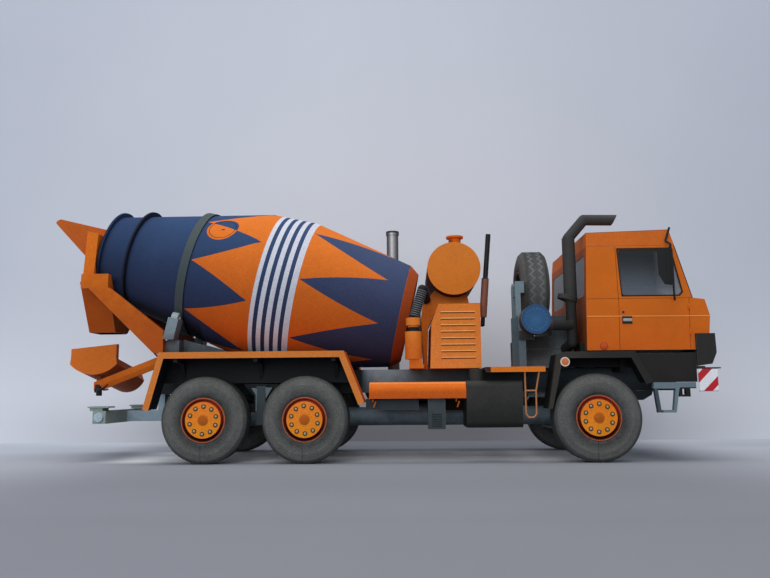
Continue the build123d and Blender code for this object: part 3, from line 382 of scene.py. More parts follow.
def round_off(bm, edges, width):
    """Bevel some edges, unless the width is 0."""
    if width:
        bmesh.ops.bevel(bm, geom=list(set(edges)), offset=width, offset_type="OFFSET", affect="EDGES",
                        segments=2, profile=0.5, material=-1)


def brick(bm, low, high, rounding=0, tone=0):
    """A box between two corners, with rounded edges."""
    low, high = (Vector(corner) for corner in zip(*map(sorted, zip(low, high))))
    place = Matrix.Translation((low + high) / 2) @ Matrix.Diagonal((*(high - low), 1))
    verts = bmesh.ops.create_cube(bm, size=1, matrix=place)["verts"]
    tint(faces_of(verts), tone)
    round_off(bm, [edge for vert in verts for edge in vert.link_edges], rounding)


def rod(bm, centre, axis, radius, length, segments, rounding=0, tone=0, end=None):
    """A round bar or disc at a centre; its far end may have another radius, and its rims may be rounded."""
    faces = faces_of(bmesh.ops.create_cone(
        bm, cap_ends=True, segments=segments, radius1=radius, radius2=radius if end is None else end,
        depth=length, matrix=matrix_to(centre, axis))["verts"])
    tint(faces, tone)
    round_off(bm, [edge for face in faces if len(face.verts) > 4 for edge in face.edges], rounding)


def wire(bm, start, end, radius, rounding=0):
    """A thin round bar between two points."""
    line = Vector(end) - Vector(start)
    rod(bm, Vector(start) + line / 2, line, radius, line.length, 10, rounding)


def hoop(bm, centre, axis, inner, outer, thick, tone=0, steps=32):
    """A flat ring round an axis."""
    place = matrix_to(centre, axis)
    corners = [(inner, -thick / 2), (outer, -thick / 2), (outer, thick / 2), (inner, thick / 2)]
    verts = [bm.verts.new(place @ Vector((r, 0, z))) for r, z in corners]
    edges = [bm.edges.new((verts[i], verts[(i + 1) % 4])) for i in range(4)]
    before = set(bm.faces)
    bmesh.ops.spin(bm, geom=verts + edges, cent=place.translation, axis=place.to_3x3() @ Vector((0, 0, 1)),
                   angle=2 * pi, steps=steps, use_merge=True)
    tint([face for face in bm.faces if face not in before], tone)


def plate(bm, corners, along, tone=0):
    """A flat outline of corners, extruded by a vector."""
    face = bm.faces.new([bm.verts.new(corner) for corner in corners])
    face.material_index = tone
    made = bmesh.ops.extrude_face_region(bm, geom=[face], use_keep_orig=True)["geom"]
    verts = [item for item in made if isinstance(item, bmesh.types.BMVert)]
    bmesh.ops.translate(bm, verts=verts, vec=along)
    tint(faces_of(verts), tone)


def side_plate(bm, sign, inner, outer, outline, tone=0):
    """A flat panel along the truck: its outline as (x, z), between two distances from the centre."""
    near, far = sorted((sign * inner, sign * outer))
    plate(bm, [(x, near, z) for x, z in outline], (0, far - near, 0), tone)


def placed_object(name, data):
    obj = bpy.data.objects.new(name, data)
    bpy.context.scene.collection.objects.link(obj)
    return obj


def as_object(name, bm, finishes):
    """Turn a shape in millimetres into an object in metres, with its finishes."""
    bmesh.ops.scale(bm, vec=(MM, MM, MM), verts=bm.verts)
    mesh = bpy.data.meshes.new(name)
    bm.to_mesh(mesh)
    bm.free()
    for finish in finishes:
        mesh.materials.append(finish)
    return placed_object(name, mesh)


def piece(name, bm, slot, *finishes, body="chassis"):
    """Make the finished piece, on its body; its slot is not used."""
    bmesh.ops.recalc_face_normals(bm, faces=bm.faces)
    for edge in bm.edges:
        if len(edge.link_faces) == 2 and edge.calc_face_angle(0) > SHARP:
            edge.smooth = False
    for face in bm.faces:
        face.smooth = True
    obj = as_object(name, bm, finishes)
    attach(obj, body)


def single(slot, *finishes):
    """Make one piece, named as the function below it, which adds its shapes."""
    def apply(shape):
        bm = bmesh.new()
        shape(bm)
        piece(shape.__name__, bm, slot, *finishes)
        return shape
    return apply


def paired(slot, *finishes, name=None):
    """Make a right and a left piece, named as the function below it, which adds the shapes of one side."""
    def apply(shape):
        for side, sign in SIDES:
            bm = bmesh.new()
            shape(bm, sign)
            piece(f"{name or shape.__name__}_{side}", bm, slot, *finishes)
        return shape
    return apply


def flat_pair(name, finish, inner, outer, outline):
    """Make a right and a left flat dark panel."""
    paired("card_dark", finish, name=name)(lambda bm, sign: side_plate(bm, sign, inner, outer, outline))


# ------ shared finishes
mirror_shell = card("mirror shell card", "232323", worn="585858", speckle=0.16)
dark_card = card("dark card", "2C2B29", worn="8A8C8A", wear=0.5)
black_card = card("black card", NEAR_BLACK, worn="6C6E70", wear=0.45)
steel_card = card("steel card", "6C7B81", worn=STEEL_WORN)
bolt_dark = card("bolt ring print", "4A3418", wear=0)
bolt_pale = card("bolt head", "A69A7C", roughness=0.55, wear=0.2)
hub_orange = card("hub cap card", "AC560F", worn="D99A6C")
brown_ink = card("brown ink line", BROWN, wear=0.1)
red_lens = card("red lamp print", "B03A2C", roughness=0.3, Coat_Weight=0.4)
amber_lens = card("amber lamp print", "D9822E", roughness=0.3, Coat_Weight=0.4)
clear_lens = card("clear lamp print", "C9CED2", roughness=0.25, Coat_Weight=0.5)


# ------ drum
def drum_normal(f):
    """The way a face looks, with the drum's tilt taken out."""
    return f.w.mapping(f.normal, (0, -DRUM_TILT, 0), "VECTOR")


@printed("drum print and painted shade", "drum_shell", roughness=0.8, wear=0.12, worn="8C8080", specular=0.08)
def drum(f, w):
    """Orange and blue zigzags, a white band with blue stripes and a round hatch. Painted shade: darker low
    down, near black under the drum's rear part, dark on the faces inside the drum.
    """
    point = f.placed((0, 0, -DRUM_LIFT), (0, -DRUM_TILT, 0))
    along, y, height = w.split(point)
    angle = w.turn(w.times(y, -1), height)
    rear_edge = w.use(ZIGZAG, Angle=angle, First_Tip=84.5, Tip_Station=-94, Valley_Station=-65.1)[0]
    front_edge = w.use(ZIGZAG, Angle=angle, First_Tip=84.1, Tip_Station=-44.8, Valley_Station=-8.5)[0]
    front_field = w.both(w.above(along, front_edge), w.below(along, -0.5))
    reach = w.reach(point, HATCH)
    hatch = w.below(reach, HATCH_RADIUS)
    rear_field = w.gap(w.below(along, rear_edge), hatch)     # the hatch swaps the colours
    white = w.between(along, -63, -45.3)
    # painted shade: low darkens the drum's colours towards its underside
    low = w.soft(height, BELLY, -BELLY)
    front_cone = w.above(along, -0.4)
    orange = w.mix(front_cone, w.mix(low, "D27028", "C2581A"), w.mix(low, "B05226", "98401E"))
    rear_blue, mid_blue, front_blue = (
        w.mix(low, *pair) for pair in (("2A3E60", "2B3650"), ("2F4669", "2B304A"), ("3E4A69", "323048")))
    blue = w.mix(w.ramp(along, -66, -20), mid_blue, front_blue)
    blue = w.mix(w.ramp(along, -124, -112), rear_blue, blue)
    color = w.mix(w.both(w.either(rear_field, front_field), w.outside(white)), orange, blue)
    stripes = w.either(*[w.below(w.gap(along, at), 0.9) for at in (-60.25, -56.4, -52.5, -48.65)])
    color = w.mix(white, color, w.mix(stripes, "C4C6D0", blue))
    hinge_y, hinge_z = HATCH[1] - 0.6, HATCH[2] - 0.5
    hinge = w.use(DRAWN_LINE, Point=point, From=(HATCH[0], hinge_y, hinge_z),
                  To=(HATCH[0] + 1.1, hinge_y, hinge_z), Half_Width=0.35)[0]
    rings = w.either(w.between(along, -138.9, -137.9), w.between(along, -125.2, -123.9))
    seal, rim = w.between(reach, 5.9, 6.25), w.between(reach, 7.05, 7.3)
    ink = w.either(w.times(seal, 0.85), w.times(rim, 0.4), hinge, w.times(rings, 0.8))
    color = w.mix(ink, color, "1C1E28")
    outwards = w.vector("MULTIPLY", point, (0, 1, 1))
    # painted shade: near black on the underside of the drum's rear part
    under = w.ramp(w.over(height, w.length(outwards)), -0.72, -0.88)
    color = w.mix(w.both(under, w.below(along, -86)), color, "1C1D26")
    # painted shade: dark brown on the faces inside the drum
    shaded_inside = w.below(w.dot(w.vector("NORMALIZE", outwards), drum_normal(f)), -0.3)
    return w.mix(shaded_inside, color, "3C2B28")


@printed("roller track print", "roller_track", roughness=0.7, wear=0.2, worn="7A8486")
def track(f, w):
    """Grey running face with dark sides."""
    side = w.size(w.split(drum_normal(f))[0])
    return w.mix(w.ramp(side, 0.4, 0.7), "444E50", "26221F")


# ------ wheels
def wheel_point(f, centre, spare):
    """The point from a wheel's centre, with the wheel's axis turned to Z, and its distance from the axis."""
    w = f.w
    moved = f.placed([-c for c in centre])
    a, b, c = w.split(w.mapping(moved, (0, 90, 0) if spare else (90, 0, 0)))
    return a, b, c, w.math("SQRT", w.plus(w.times(a, a), w.times(b, b)))


def tyre_finish(name, centre, spare=False):
    """Grey printed tyre: soft darker zones on its side, chevrons on its tread, one glued seam. Painted shade
    darkens the road wheels' tread and the top of the spare's tread.
    """
    f = Finish(name)
    w = f.w
    a, b, c, radius = wheel_point(f, centre, spare)
    blotch = w.noise(f.point, 0.35, 3, 0.6)
    near_rim = w.soft(radius, 13.6, 9.8, 0, 0.85)
    near_edge = w.soft(radius, 15.8, 17.6, 0, 0.6)
    dark = w.times(w.either(near_rim, near_edge), w.ramp(blotch, 0.25, 0.6, 0.55, 1))
    color = w.mix(dark, "585856", "313231")
    light = w.both(w.between(radius, 13, 16.2), w.ramp(blotch, 0.5, 0.72, 0, 0.5))
    color = w.mix(light, color, "646562")
    if not spare:
        seam = w.both(w.below(w.size(w.plus(a, 0.8)), 0.12), w.above(b, 0))
        color = w.mix(w.times(seam, 0.7), color, NEAR_BLACK)
    across = w.size(c)
    sway = w.sway(w.plus(w.over(w.turn(a, b), 360 / 31), 60))
    chevron = w.gap(across, w.plus(w.times(sway, 1.7), 1.1))
    # the road wheels' tread is darker than the spare's: painted shade
    middle, shoulder, strength = ("505250", "343635", 0.26) if spare else ("313332", "262727", 0.18)
    rubber = w.mix(w.soft(across, 2.2, 5.6), middle, shoulder)
    # painted shade: the spare's tread darkens towards its top
    if spare:
        rubber = w.mix(w.ramp(f.z, 76, 92), rubber, "2A2B2B")
    tread = w.mix(w.ramp(chevron, 0.2, 0.75, strength, 0), rubber, "8C8C8E")
    color = w.mix(w.ramp(radius, 17.5, 17.7), color, tread)
    return f.done(color, roughness=0.75, speckle=0.26, mottle=0.1, wear=0.12, worn="8A8C8B", bump=0.5)


def rim_finish(name, centre, spare=False):
    """Orange wheel: thin brown outer ring, sloping wall, disc with a ring round its hub. Painted light: the
    disc lightens downwards; on the road wheels the wall has a painted highlight at its top and painted shade
    at its foot, and painted shade darkens the inboard faces.
    """
    f = Finish(name)
    w = f.w
    a, b, c, radius = wheel_point(f, centre, spare)
    # painted light: lighter disc and dark wall foot downwards, painted highlight on the wall's upper side
    painted_light_down = w.soft(b, -7, 7)
    disc = w.mix(w.between(radius, 2.05, 2.2), w.mix(painted_light_down, "DA7410", "E88A1C"), "A0500E")
    color = w.mix(w.above(radius, 8.5), disc, "3C3A36" if spare else "AC5838")
    slope = w.mix(painted_light_down, w.mix(w.soft(a, -6, 6), "84301C", "A23A20"), "3A120E")
    color = w.mix(w.between(radius, 7.34, 8.8), color, "262524" if spare else slope)
    # painted shade: near black on the rim's inboard faces
    if not spare:
        color = w.mix(w.below(w.size(c), DISC_FACE - 1.2), color, NEAR_BLACK)
    return f.done(color, roughness=0.5, wear=0.35, worn="E8B080")


def wheel_trim(name, centre, facing, body, turn=0, cap=None):
    """Hub cap and ten bolts on a face, with a raised cap under them if its finish is given."""
    bm = bmesh.new()
    centre, facing = Vector(centre), Vector(facing)
    if cap:
        rod(bm, centre - facing, facing, 8.42, 2, 72, 0.04, tone=3, end=7.34)
    rod(bm, centre + facing * 0.12, facing, 1.95, 0.24, 40, 0.06)
    for i in range(BOLTS):
        spoke = Matrix.Rotation(radians(turn + 360 / BOLTS * i), 3, facing) @ Vector((0, 0, BOLT_CIRCLE))
        foot = centre + spoke
        rod(bm, foot + facing * 0.06, facing, 0.95, 0.12, 20, tone=1)
        rod(bm, foot + facing * 0.25, facing, 0.55, 0.3, 12, 0.08, tone=2, end=0.45)
    piece(name, bm, "card_rim", hub_orange, bolt_dark, bolt_pale, *([cap] if cap else []), body=body)


def dress_wheels():
    for place, station, turn in WHEELS:
        for side, sign in SIDES:
            label = f"{place}_{side}"
            rim = rim_finish(f"rim print {label}", (station, 0, AXLE_Z))
            dress(rim, f"rim_{label}")
            dress(tyre_finish(f"tyre print {label}", (station, sign * TYRE_MIDDLE, AXLE_Z)), f"tyre_{label}")
            face = (station, sign * CAP_FACE, AXLE_Z)
            wheel_trim(f"wheel_trim_{label}", face, (0, sign, 0), f"wheel_{label}", turn, rim)
    dress(tyre_finish("tyre print spare", SPARE, spare=True), "spare_tyre")
    dress(rim_finish("rim print spare", SPARE, spare=True), "spare_rim")
    wheel_trim("wheel_trim_spare", (SPARE_FACE, *SPARE[1:]), (-1, 0, 0), "chassis")


dress_wheels()


# ------ cab
@printed("cab side print and painted highlight", "cab_side_right", "cab_side_left")
def cab_side(f, w):
    """Door lines, window gasket, front pillar, and the pale line under the windows, a painted highlight."""
    color = f.fade("CD6717", "C65D13", 66, 44)
    doors = [(103.4, 88.1, 103.9, 63.6), (103.9, 63.6, 103.4, 44.7), (132.5, 66.2, 131.9, 44.9)]
    window = [(104.3, 86.8), (126, 86.8), (129.9, 68.6), (128.7, 67.3), (105.5, 67.3)]
    gasket = [(*start, *end) for start, end in zip(window, window[1:] + window[:1])]
    for ink, half_width, ends in (
            ("8A400E", 0.14, doors), ("1E1C1A", 0.42, gasket), ("2E1C12", 0.3, [(127.8, 88, 134, 66.2)]),
            # the belt line, then the pale line under the windows, a painted highlight
            ("96460F", 0.13, [(90.6, 66.1, 140, 66.1)]), ("EE9A4E", 0.16, [(90.6, 58.9, 140.6, 58.6)]),
            ("A24E12", 0.1, [(90.6, 58.5, 140.6, 58.2)])):
        color = f.lines(color, ink, half_width, ends)
    return w.mix(w.above(w.size(f.y), CAB_FACE - 0.2), CAB_INSIDE, color)


@printed("cab front print", "cab_front")
def cab_front(f, w):
    """Orange panel, darker on its inner face."""
    return w.mix(w.below(f.facing(0), -0.05), f.fade("D4660F", "BE540E", 66, 50), CAB_INSIDE)


@printed("cab rear print", "cab_rear")
def cab_rear(f, w):
    """Brown-orange wall, darker downwards."""
    return f.fade("A04C18", "743814", 84, 50)


@printed("cab roof print", "cab_roof")
def roof(f, w):
    """Orange roof with a brown line along its upper fold and another along its lower edge."""
    color = f.lines("BF5F1A", BROWN, 0.2, [(91, 94.2, 127, 95.1)], on=w.below(f.facing(2), 0.9))
    return f.lines(color, "96460F", 0.14, [(91, 88.1, 128, 88.1)])


def film_finish():
    """Thin clear film: a grey tint that painted shade darkens upwards, a pale front corner of painted light,
    a painted shade band under the roof, a dark rear window.
    """
    f = Finish("clear film")
    w = f.w
    # painted shade: the tint darkens upwards
    color = w.mix(w.soft(f.z, 66, 85), "8A929C", "4C5155")
    # painted light: the pale front corner stands for light through the far windows
    color = w.mix(w.both(w.above(w.size(f.y), 36), w.ramp(f.x, 119, 124)), color, "B4B8C0")
    # painted shade: a dark band under the roof
    color = w.mix(w.above(f.z, 85.3), color, "57534C")
    color = w.mix(w.below(f.x, 92.5), color, w.mix(w.ramp(f.z, 60, 84), "4C4044", "66747C"))
    f.set(Base_Color=color, Roughness=w.ramp(w.noise(f.point, 0.12, 3), 0.3, 0.7, 0.03, 0.10),
          Normal=f.bump(w.noise(f.point, 0.08), 0.08, 0.0002), Transmission_Weight=0.6, IOR=1.12)
    return f.material


dress(film_finish(), "cab_glass")
dress(card("cab floor card", "4A4744"), "cab_floor")
dress(card("seat card", "5A4C44", roughness=0.8), "seats")
dress(card("dashboard card", "34373A", roughness=0.7), "dashboard")


@paired("card_orange", dark_card, card("handle bar print", "A09C98", roughness=0.45, wear=0.3))
def door_handle(bm, sign):
    """Dark recess plate of painted shade, pull bar and lock."""
    face, back, front = (sign * (CAB_FACE + depth) for depth in (0, 0.1, 0.7))
    # painted shade: a dark plate stands for the recess
    brick(bm, (104.9, face, 55.6), (109, back, 58.8), 0.04)
    brick(bm, (105.2, back, 56.6), (108.8, front, 57.8), 0.2, tone=1)
    rod(bm, (105.5, sign * (CAB_FACE + 0.15), 60.5), (0, 1, 0), 0.5, 0.3, 16, 0.06)


@paired("card_orange", card("side marker print", "C4481A", wear=0.1), brown_ink)
def side_marker(bm, sign):
    rod(bm, (97, sign * (CAB_FACE + 0.15), 46.6), (0, 1, 0), 1.35, 0.3, 28, 0.08)
    hoop(bm, (97, sign * (CAB_FACE + 0.1), 46.6), (0, 1, 0), 1.3, 1.55, 0.2, tone=1)


@paired("card_orange", card("reflector print", "C4704A", wear=0.1),
        card("reflector ring print", "D8C8B8", wear=0.1))
def guard_reflector(bm, sign):
    """Round reflector with a pale ring, on the front mudguard."""
    place = (80.6, sign * 39.1, 40.3)
    rod(bm, place, (0, 1, 0), 1.5, 0.3, 28, 0.06)
    hoop(bm, place, (0, 1, 0), 1.45, 1.9, 0.24, tone=1)


@paired("card_orange", card("orange card", "D26410", worn=ORANGE_WORN))
def door_hinges(bm, sign):
    for z in (52, 62.5):
        rod(bm, (132.2, sign * (CAB_FACE + 0.2), z), (0, 0, 1), 0.35, 2.2, 12, 0.08)


@single("card_dark", dark_card)
def grille_slats(bm):
    """Five slats that follow the front's slope: forwards up to the fold, then back."""
    fold = 58.8
    for i in range(5):
        z = 53.6 + 2.05 * i
        x = 139.95 + (0.78 - (z - fold) * 0.27 if z > fold else (z - 51.5) * 0.098)
        brick(bm, (x, -24, z - 0.45), (x + 0.55, 24, z + 0.45), 0.12)


@single("card_white", card("blank plate card", "C9CBD2"))
def front_plate(bm):
    brick(bm, (141.75, -9.5, 42.2), (142.1, 9.5, 46.4), 0.1)


@paired("card_dark", black_card, clear_lens)
def headlamps(bm, sign):
    """Housing, lens and two round reflectors."""
    inner, outer = 23, 34.5
    brick(bm, (141.7, sign * inner, 41.6), (142.2, sign * outer, 48.2), 0.15)
    brick(bm, (142.1, sign * (inner + 0.6), 42.2), (142.6, sign * (outer - 0.6), 47.6), 0.2, tone=1)
    for shift in (-2.6, 2.6):
        place = (142.55, sign * (inner + outer) / 2 + shift, 44.9)
        rod(bm, place, (1, 0, 0), 2.1, 0.3, 28, 0.1, tone=1)


@paired("card_dark", black_card)
def wiper(bm, sign):
    """Wire arm in front of the windscreen, on a round foot."""
    foot, tip = Vector((134.2, sign * 8, 67.4)), Vector((130, sign * 22, 82))
    forwards = Vector((0.55, 0, 0))
    wire(bm, foot + forwards, tip + forwards, 0.28)
    rod(bm, foot, (1, 0, 0.3), 0.8, 1.6, 16, 0.15)


@single("card_orange", amber_lens)
def roof_markers(bm):
    """Marker lamps along the roof's front edge."""
    for y in (-26, -13, 0, 13, 26):
        brick(bm, (124.6, y - 1.5, 93.6), (126.2, y + 1.5, 95), 0.25)


@paired("card_dark", card("mirror foil", "B9C1C7", roughness=0.16, bump=0.05, speckle=0.02, Metallic=0.8))
def mirror_glass(bm, sign):
    """Foil glass on the rear face of a mirror."""
    facing = Vector((-0.574, -sign * 0.819, 0))
    across = Vector((-facing.y, facing.x, 0)) * 1.8
    middle = Vector((123.2, sign * 42.7, 78.4)) + facing * 0.82
    corners = [middle + across * a + Vector((0, 0, 6.8 * b)) for a, b in ((-1, -1), (1, -1), (1, 1), (-1, 1))]
    plate(bm, corners, facing * 0.15)


# dark flap on the outer edge of each mirror, cut back at its lower rear corner
flat_pair("mirror_hood", mirror_shell, 43.9, 44.4,
          [(118.4, 85.4), (122.6, 85.8), (122.6, 71.3), (120.6, 71.3), (118.6, 75.2)])


# ------ engine cover, front stand, tank
@printed("engine cover print", "engine_cover")
def cover(f, w):
    return w.mix(w.above(f.z, 66), f.fade("D6762C", "DC7E36", 64, 40), "A84A1E")


@paired("card_orange", card("pale ink line", "EFB468", wear=0.1), brown_ink)
def cover_louvres(bm, sign):
    """Eight louvres: a pale lip with a brown shadow under it."""
    for z in (62.4, 59.6, 56.8, 54.1, 51.3, 48.5, 45.7, 42.9):
        brick(bm, (31, sign * 27, z), (45.6, sign * 27.14, z + 0.34), 0.03)
        brick(bm, (31, sign * 27, z - 0.42), (45.6, sign * 27.1, z), 0.02, tone=1)


@printed("front stand print and painted shade", "front_stand")
def front_stand(f, w):
    """Orange stand, with dark red painted shade close under the tank."""
    # painted shade: dark red close under the tank
    return w.mix(w.soft(f.z, 66, 76, 0, 0.9), f.fade("D87626", "C46412", 72, 42), "541C10")


@printed("water tank print and painted shade", "water_tank")
def tank(f, w):
    """Orange on top and at the ends; painted shade makes it dark red low down and on the flank towards the
    drum.
    """
    # painted shade: dark red on the flank towards the drum and low down
    flank = w.both(w.ramp(f.facing(0), -0.15, -0.6), w.ramp(f.z, 99, 96))
    red = w.mix(w.ramp(f.z, 92, 78), "6A2A18", "42120C")
    color = w.mix(flank, f.fade("D06410", "4E1A0C", 84, 72), red)
    return w.mix(w.above(w.size(f.y), 23.8), color, f.fade("D47828", "CC701E", 90, 72))


dress(steel_card, "drum_gearbox")


# ------ engine, rack, air intake, pipes
@printed("engine print and painted shadow", "engine", worn=STEEL_WORN, mottle=0.07)
def engine(f, w):
    """Grey block with drawn grooves, with a painted shadow of the air filter: dark close behind it, and
    darker upwards towards it.
    """
    # painted shadow of the air filter, dark close behind it
    filter_shadow = w.soft(f.off(72.5, 48), 3, 12, 0.9, 0)
    color = w.mix(filter_shadow, f.shade("4A5458", "7E888C", (0.35, 0, -1), -26, 4), "2A2626")
    grooves = [(67, z, 88, z) for z in (33, 40, 46.5)] + [(79, 46.5, 79, 60.8)]
    return f.lines(color, "3A4246", 0.14, grooves)


@printed("spare rack print and painted shade", "spare_rack", worn=STEEL_WORN)
def rack(f, w):
    """Blue-grey rack, darker downwards, with painted shade low down at its rear."""
    # painted shade on the rear face of the lower post
    dark = w.both(w.below(f.x, 63.5), w.below(f.z, 60))
    return w.mix(w.times(dark, 0.8), f.fade("71828A", "54636A", 64, 48), "3B474D")


@printed("air intake print and painted light", "air_intake", worn="9AA0A0", wear=0.35)
def intake(f, w):
    """Brown air filter with a blue face and dark pipes. The face has a rim and a ring of dashes. The pipes
    carry a painted highlight on top and painted shade that darkens them downwards.
    """
    canister = w.both(w.below(f.x, 77), w.below(f.z, 65))
    face = w.both(canister, w.below(f.y, -38.3))
    reach = f.off(FILTER_X, FILTER_Z)
    angle = w.math("ARCTAN2", w.less(f.x, FILTER_X), w.less(f.z, FILTER_Z))
    dashes = w.above(w.math("SINE", w.times(angle, 18)), 0)
    blue = w.mix(w.ramp(reach, 0, 6), "356088", "2A4E72")
    blue = w.mix(w.times(w.both(w.between(reach, 4.2, 4.6), dashes), 0.25), blue, "6C8CAC")
    blue = w.mix(w.between(reach, 5.6, 5.9), blue, "25456E")
    brown = w.mix(w.below(f.z, 51.6), f.fade("5E5048", "38302C", 62, 53), "2C2C2A")
    # painted light on the pipes: a painted highlight on top, painted shade lower down
    pipes = w.mix(w.above(f.z, 105), f.fade("3C3B3A", "282726", 76, 56), "474542")
    return w.mix(face, w.mix(canister, pipes, brown), blue)


def exhaust_finish():
    """Silver stack on the left, with painted shade darkening it towards its sides; brown silencer and black
    tail pipe on the right.
    """
    f = Finish("exhaust print and painted shade")
    w = f.w
    stack = w.above(f.y, 5)
    side = w.size(w.over(w.less(f.x, STACK_X), STACK_RADIUS))
    # painted shade: the stack darkens towards its sides
    silver = w.mix(w.soft(side, 0.15, 0.95), "A6A8AA", "4C4E50")
    silver = w.mix(w.above(f.z, STACK_RIM_Z), silver, "33373A")
    slots = w.both(w.between(f.z, 46, 84), w.between(w.math("FRACT", w.times(f.z, 0.28)), 0, 0.14))
    silver = w.mix(w.times(slots, 0.35), silver, "4A5054")
    color = w.mix(stack, w.mix(w.between(f.z, 60.6, 77.5), "1C1D20", "7E4E3E"), silver)
    f.set(Metallic=w.times(w.both(stack, w.below(f.z, STACK_RIM_Z)), 0.55))
    return f.done(color, roughness=0.45, worn="C9CDD0", wear=0.25)


dress(exhaust_finish(), "exhausts")


@printed("oil filter print", "oil_filter", worn="D9A888", wear=0.3)
def oil_filter(f, w):
    """Orange canister with a black gap under its collar, and the dark hose above."""
    color = w.mix(w.between(f.z, 54.1, 56), f.fade("DA7A2C", "CC6418", 58, 42), NEAR_BLACK)
    return w.mix(w.above(f.z, 60), color, "1E1F21")


@single("card_dark", card("hose rib print", "6E7476", wear=0.2))
def hose_ribs(bm):
    """Pale ribs round the corrugated hose."""
    foot, line, count = Vector((19.8, -27, 60.6)), Vector((3.5, 1, 11.6)), 13
    for i in range(count):
        hoop(bm, foot + line * ((i + 0.5) / count), line, 1.9, 2.25, 0.26, steps=24)


# ------ frame and running gear
@printed("frame rail print and painted shade", "ladder_frame", worn="8E999E", wear=0.3)
def rails(f, w):
    """Steel blue-grey, darker downwards, with painted shade: near black under the mudguards and the cover,
    and dark between the rails.
    """
    # painted shade: near black under the mudguards and the cover
    dark = w.either(w.ramp(f.x, -1, -4), w.soft(f.x, 2, 30, 0, 0.8))
    color = w.mix(dark, f.fade("80909A", "505C62", 38.5, 28.5), "1A1E20")
    # painted shade: dark between the rails
    return w.mix(w.ramp(w.size(f.y), 14, 12.5), color, "2A3034")


@printed("front arch print and painted shade", "front_mudguards", worn="74726C", speckle=0.14)
def arch(f, w):
    """Charcoal, paler on the rear leg, with black painted shade on the inner faces."""
    color = w.mix(w.soft(f.x, 84, 96), "35332F", "2A2827")
    # painted shade: black on the inner faces
    return w.mix(w.below(w.size(f.y), 36), color, "191A1B")


# dark sheets of painted shade: inner panels of the mudguards, and dark card under the rails behind the
# lockers and the louvred boxes
flat_pair("front_arch_panel", card("arch shade card", "17181A", wear=0.15), 24.9, 25.4,
          [(78, 38.6), (77.8, 43.2), (81.2, 44.2), (108.8, 44.2), (112, 38.6)])
flat_pair("rear_arch_panel", black_card, 24.3, 24.8, [(-89, 33), (-86, 45), (-10.2, 45), (-5.4, 33)])
flat_pair("inner_plate", card("under rail shade card", "2A1D1B", wear=0.1), 14.7, 15.2,
          [(30, 29.5), (50, 29.5), (50, 20.6), (30, 20.6)])


@paired("card_dark", card("spring bracket card", "464F53", worn="8A9498"), steel_card)
def spring_bracket(bm, sign):
    """Bracket over a rear spring, between the two axles: a post, two gussets and its pale edge."""
    side_plate(bm, sign, 25, 25.6, [(-48.2, 31.6), (-44.3, 31.6), (-44.3, 15.4), (-48.2, 15.4)])
    side_plate(bm, sign, 25, 25.6, [(-50.4, 30.8), (-48.2, 30.8), (-48.2, 27.4)], tone=1)
    side_plate(bm, sign, 25, 25.6, [(-44.3, 31), (-41.4, 31), (-44.1, 26.4)], tone=1)
    side_plate(bm, sign, 25.5, 25.9, [(-48.4, 30.2), (-47.9, 30.2), (-47.9, 21), (-48.4, 21)], tone=1)


@paired("card_orange", hub_orange)
def locker_hooks(bm, sign):
    """Small wire hooks under the lockers."""
    for x in (2.2, 36.4):
        rod(bm, (x, sign * 36.4, 25.4), (0, 0, 1), 0.3, 1.6, 10, 0.05)
        rod(bm, (x + 0.8, sign * 36.4, 23.6), (0.35, 0, 1), 0.35, 2.6, 10, 0.08)


@printed("backbone card", "backbone_tube", worn=STEEL_WORN)
def backbone(f, w):
    # painted shade: the round tube darkens downwards
    return f.fade("8C9DA5", "465056", 21, 13)


dress(steel_card, "half_axles", "steering_gear")
# near black springs: painted shade under the mudguards
dress(card("spring shade card", "1C2022", worn="6A7074"), "rear_springs")
dress(black_card, "mudguard_struts")
dress(card("air tank card", "4A5256", roughness=0.45), "air_tanks")


@printed("rear mudguard print and painted shade", "rear_mudguards")
def guard(f, w):
    """Orange top, bright outer lip, and painted shade on the underside."""
    # painted shade: dark on faces that look down
    color = w.mix(w.below(f.facing(2), -0.02), "BE560E", "1F242C")
    lip = w.both(w.above(w.size(f.facing(1)), 0.7), w.above(w.size(f.y), 38.5))
    return w.mix(lip, color, "CC7630")


@printed("side box print and painted light", "side_boxes", worn="E0B090")
def boxes(f, w):
    """Orange lockers over the blue-grey louvred box; the lockers have a painted highlight on top and painted
    shade underneath.
    """
    # painted highlight on the locker's top
    locker = w.mix(w.above(f.z, 31.9), f.fade("D0640E", "BE540E", 32, 27), "D87E40")
    # painted shade on the locker's underside
    locker = w.mix(w.below(f.facing(2), -0.5), locker, "7C3418")
    box = w.mix(w.between(f.x, 24.8, 32.2), "333A3E", f.fade("4A5357", "3A4246", 26, 14))
    slits = [(26.5, z, 30.4, z) for z in (19.4 - 0.7 * i for i in range(8))]
    return w.mix(w.above(f.z, 25.95), f.lines(box, "22282B", 0.2, slits), locker)


@printed("side step print", "side_steps")
def steps(f, w):
    """Orange platform edge over the brown wire ladder, dark where the two meet at the rear."""
    color = w.mix(w.above(f.z, 36.2), "B0744E", "D8741C")
    return w.mix(w.both(w.below(f.x, 50.5), w.above(f.z, 30)), color, "3A2420")


@printed("front skirt print", "front_skirts", worn="9BA6AB")
def skirts(f, w):
    """Charcoal step wells with grey-blue treads."""
    rear_well = w.both(w.below(f.x, 119.4), w.below(f.z, 29.3))
    front_well = w.both(w.above(f.x, 126.45), w.below(f.z, 29.62))
    tread = w.both(w.below(f.z, 31.75), w.outside(front_well))
    return w.mix(tread, f.fade("272523", "1C1A1A", 40, 22), w.mix(rear_well, "697A83", "404C54"))


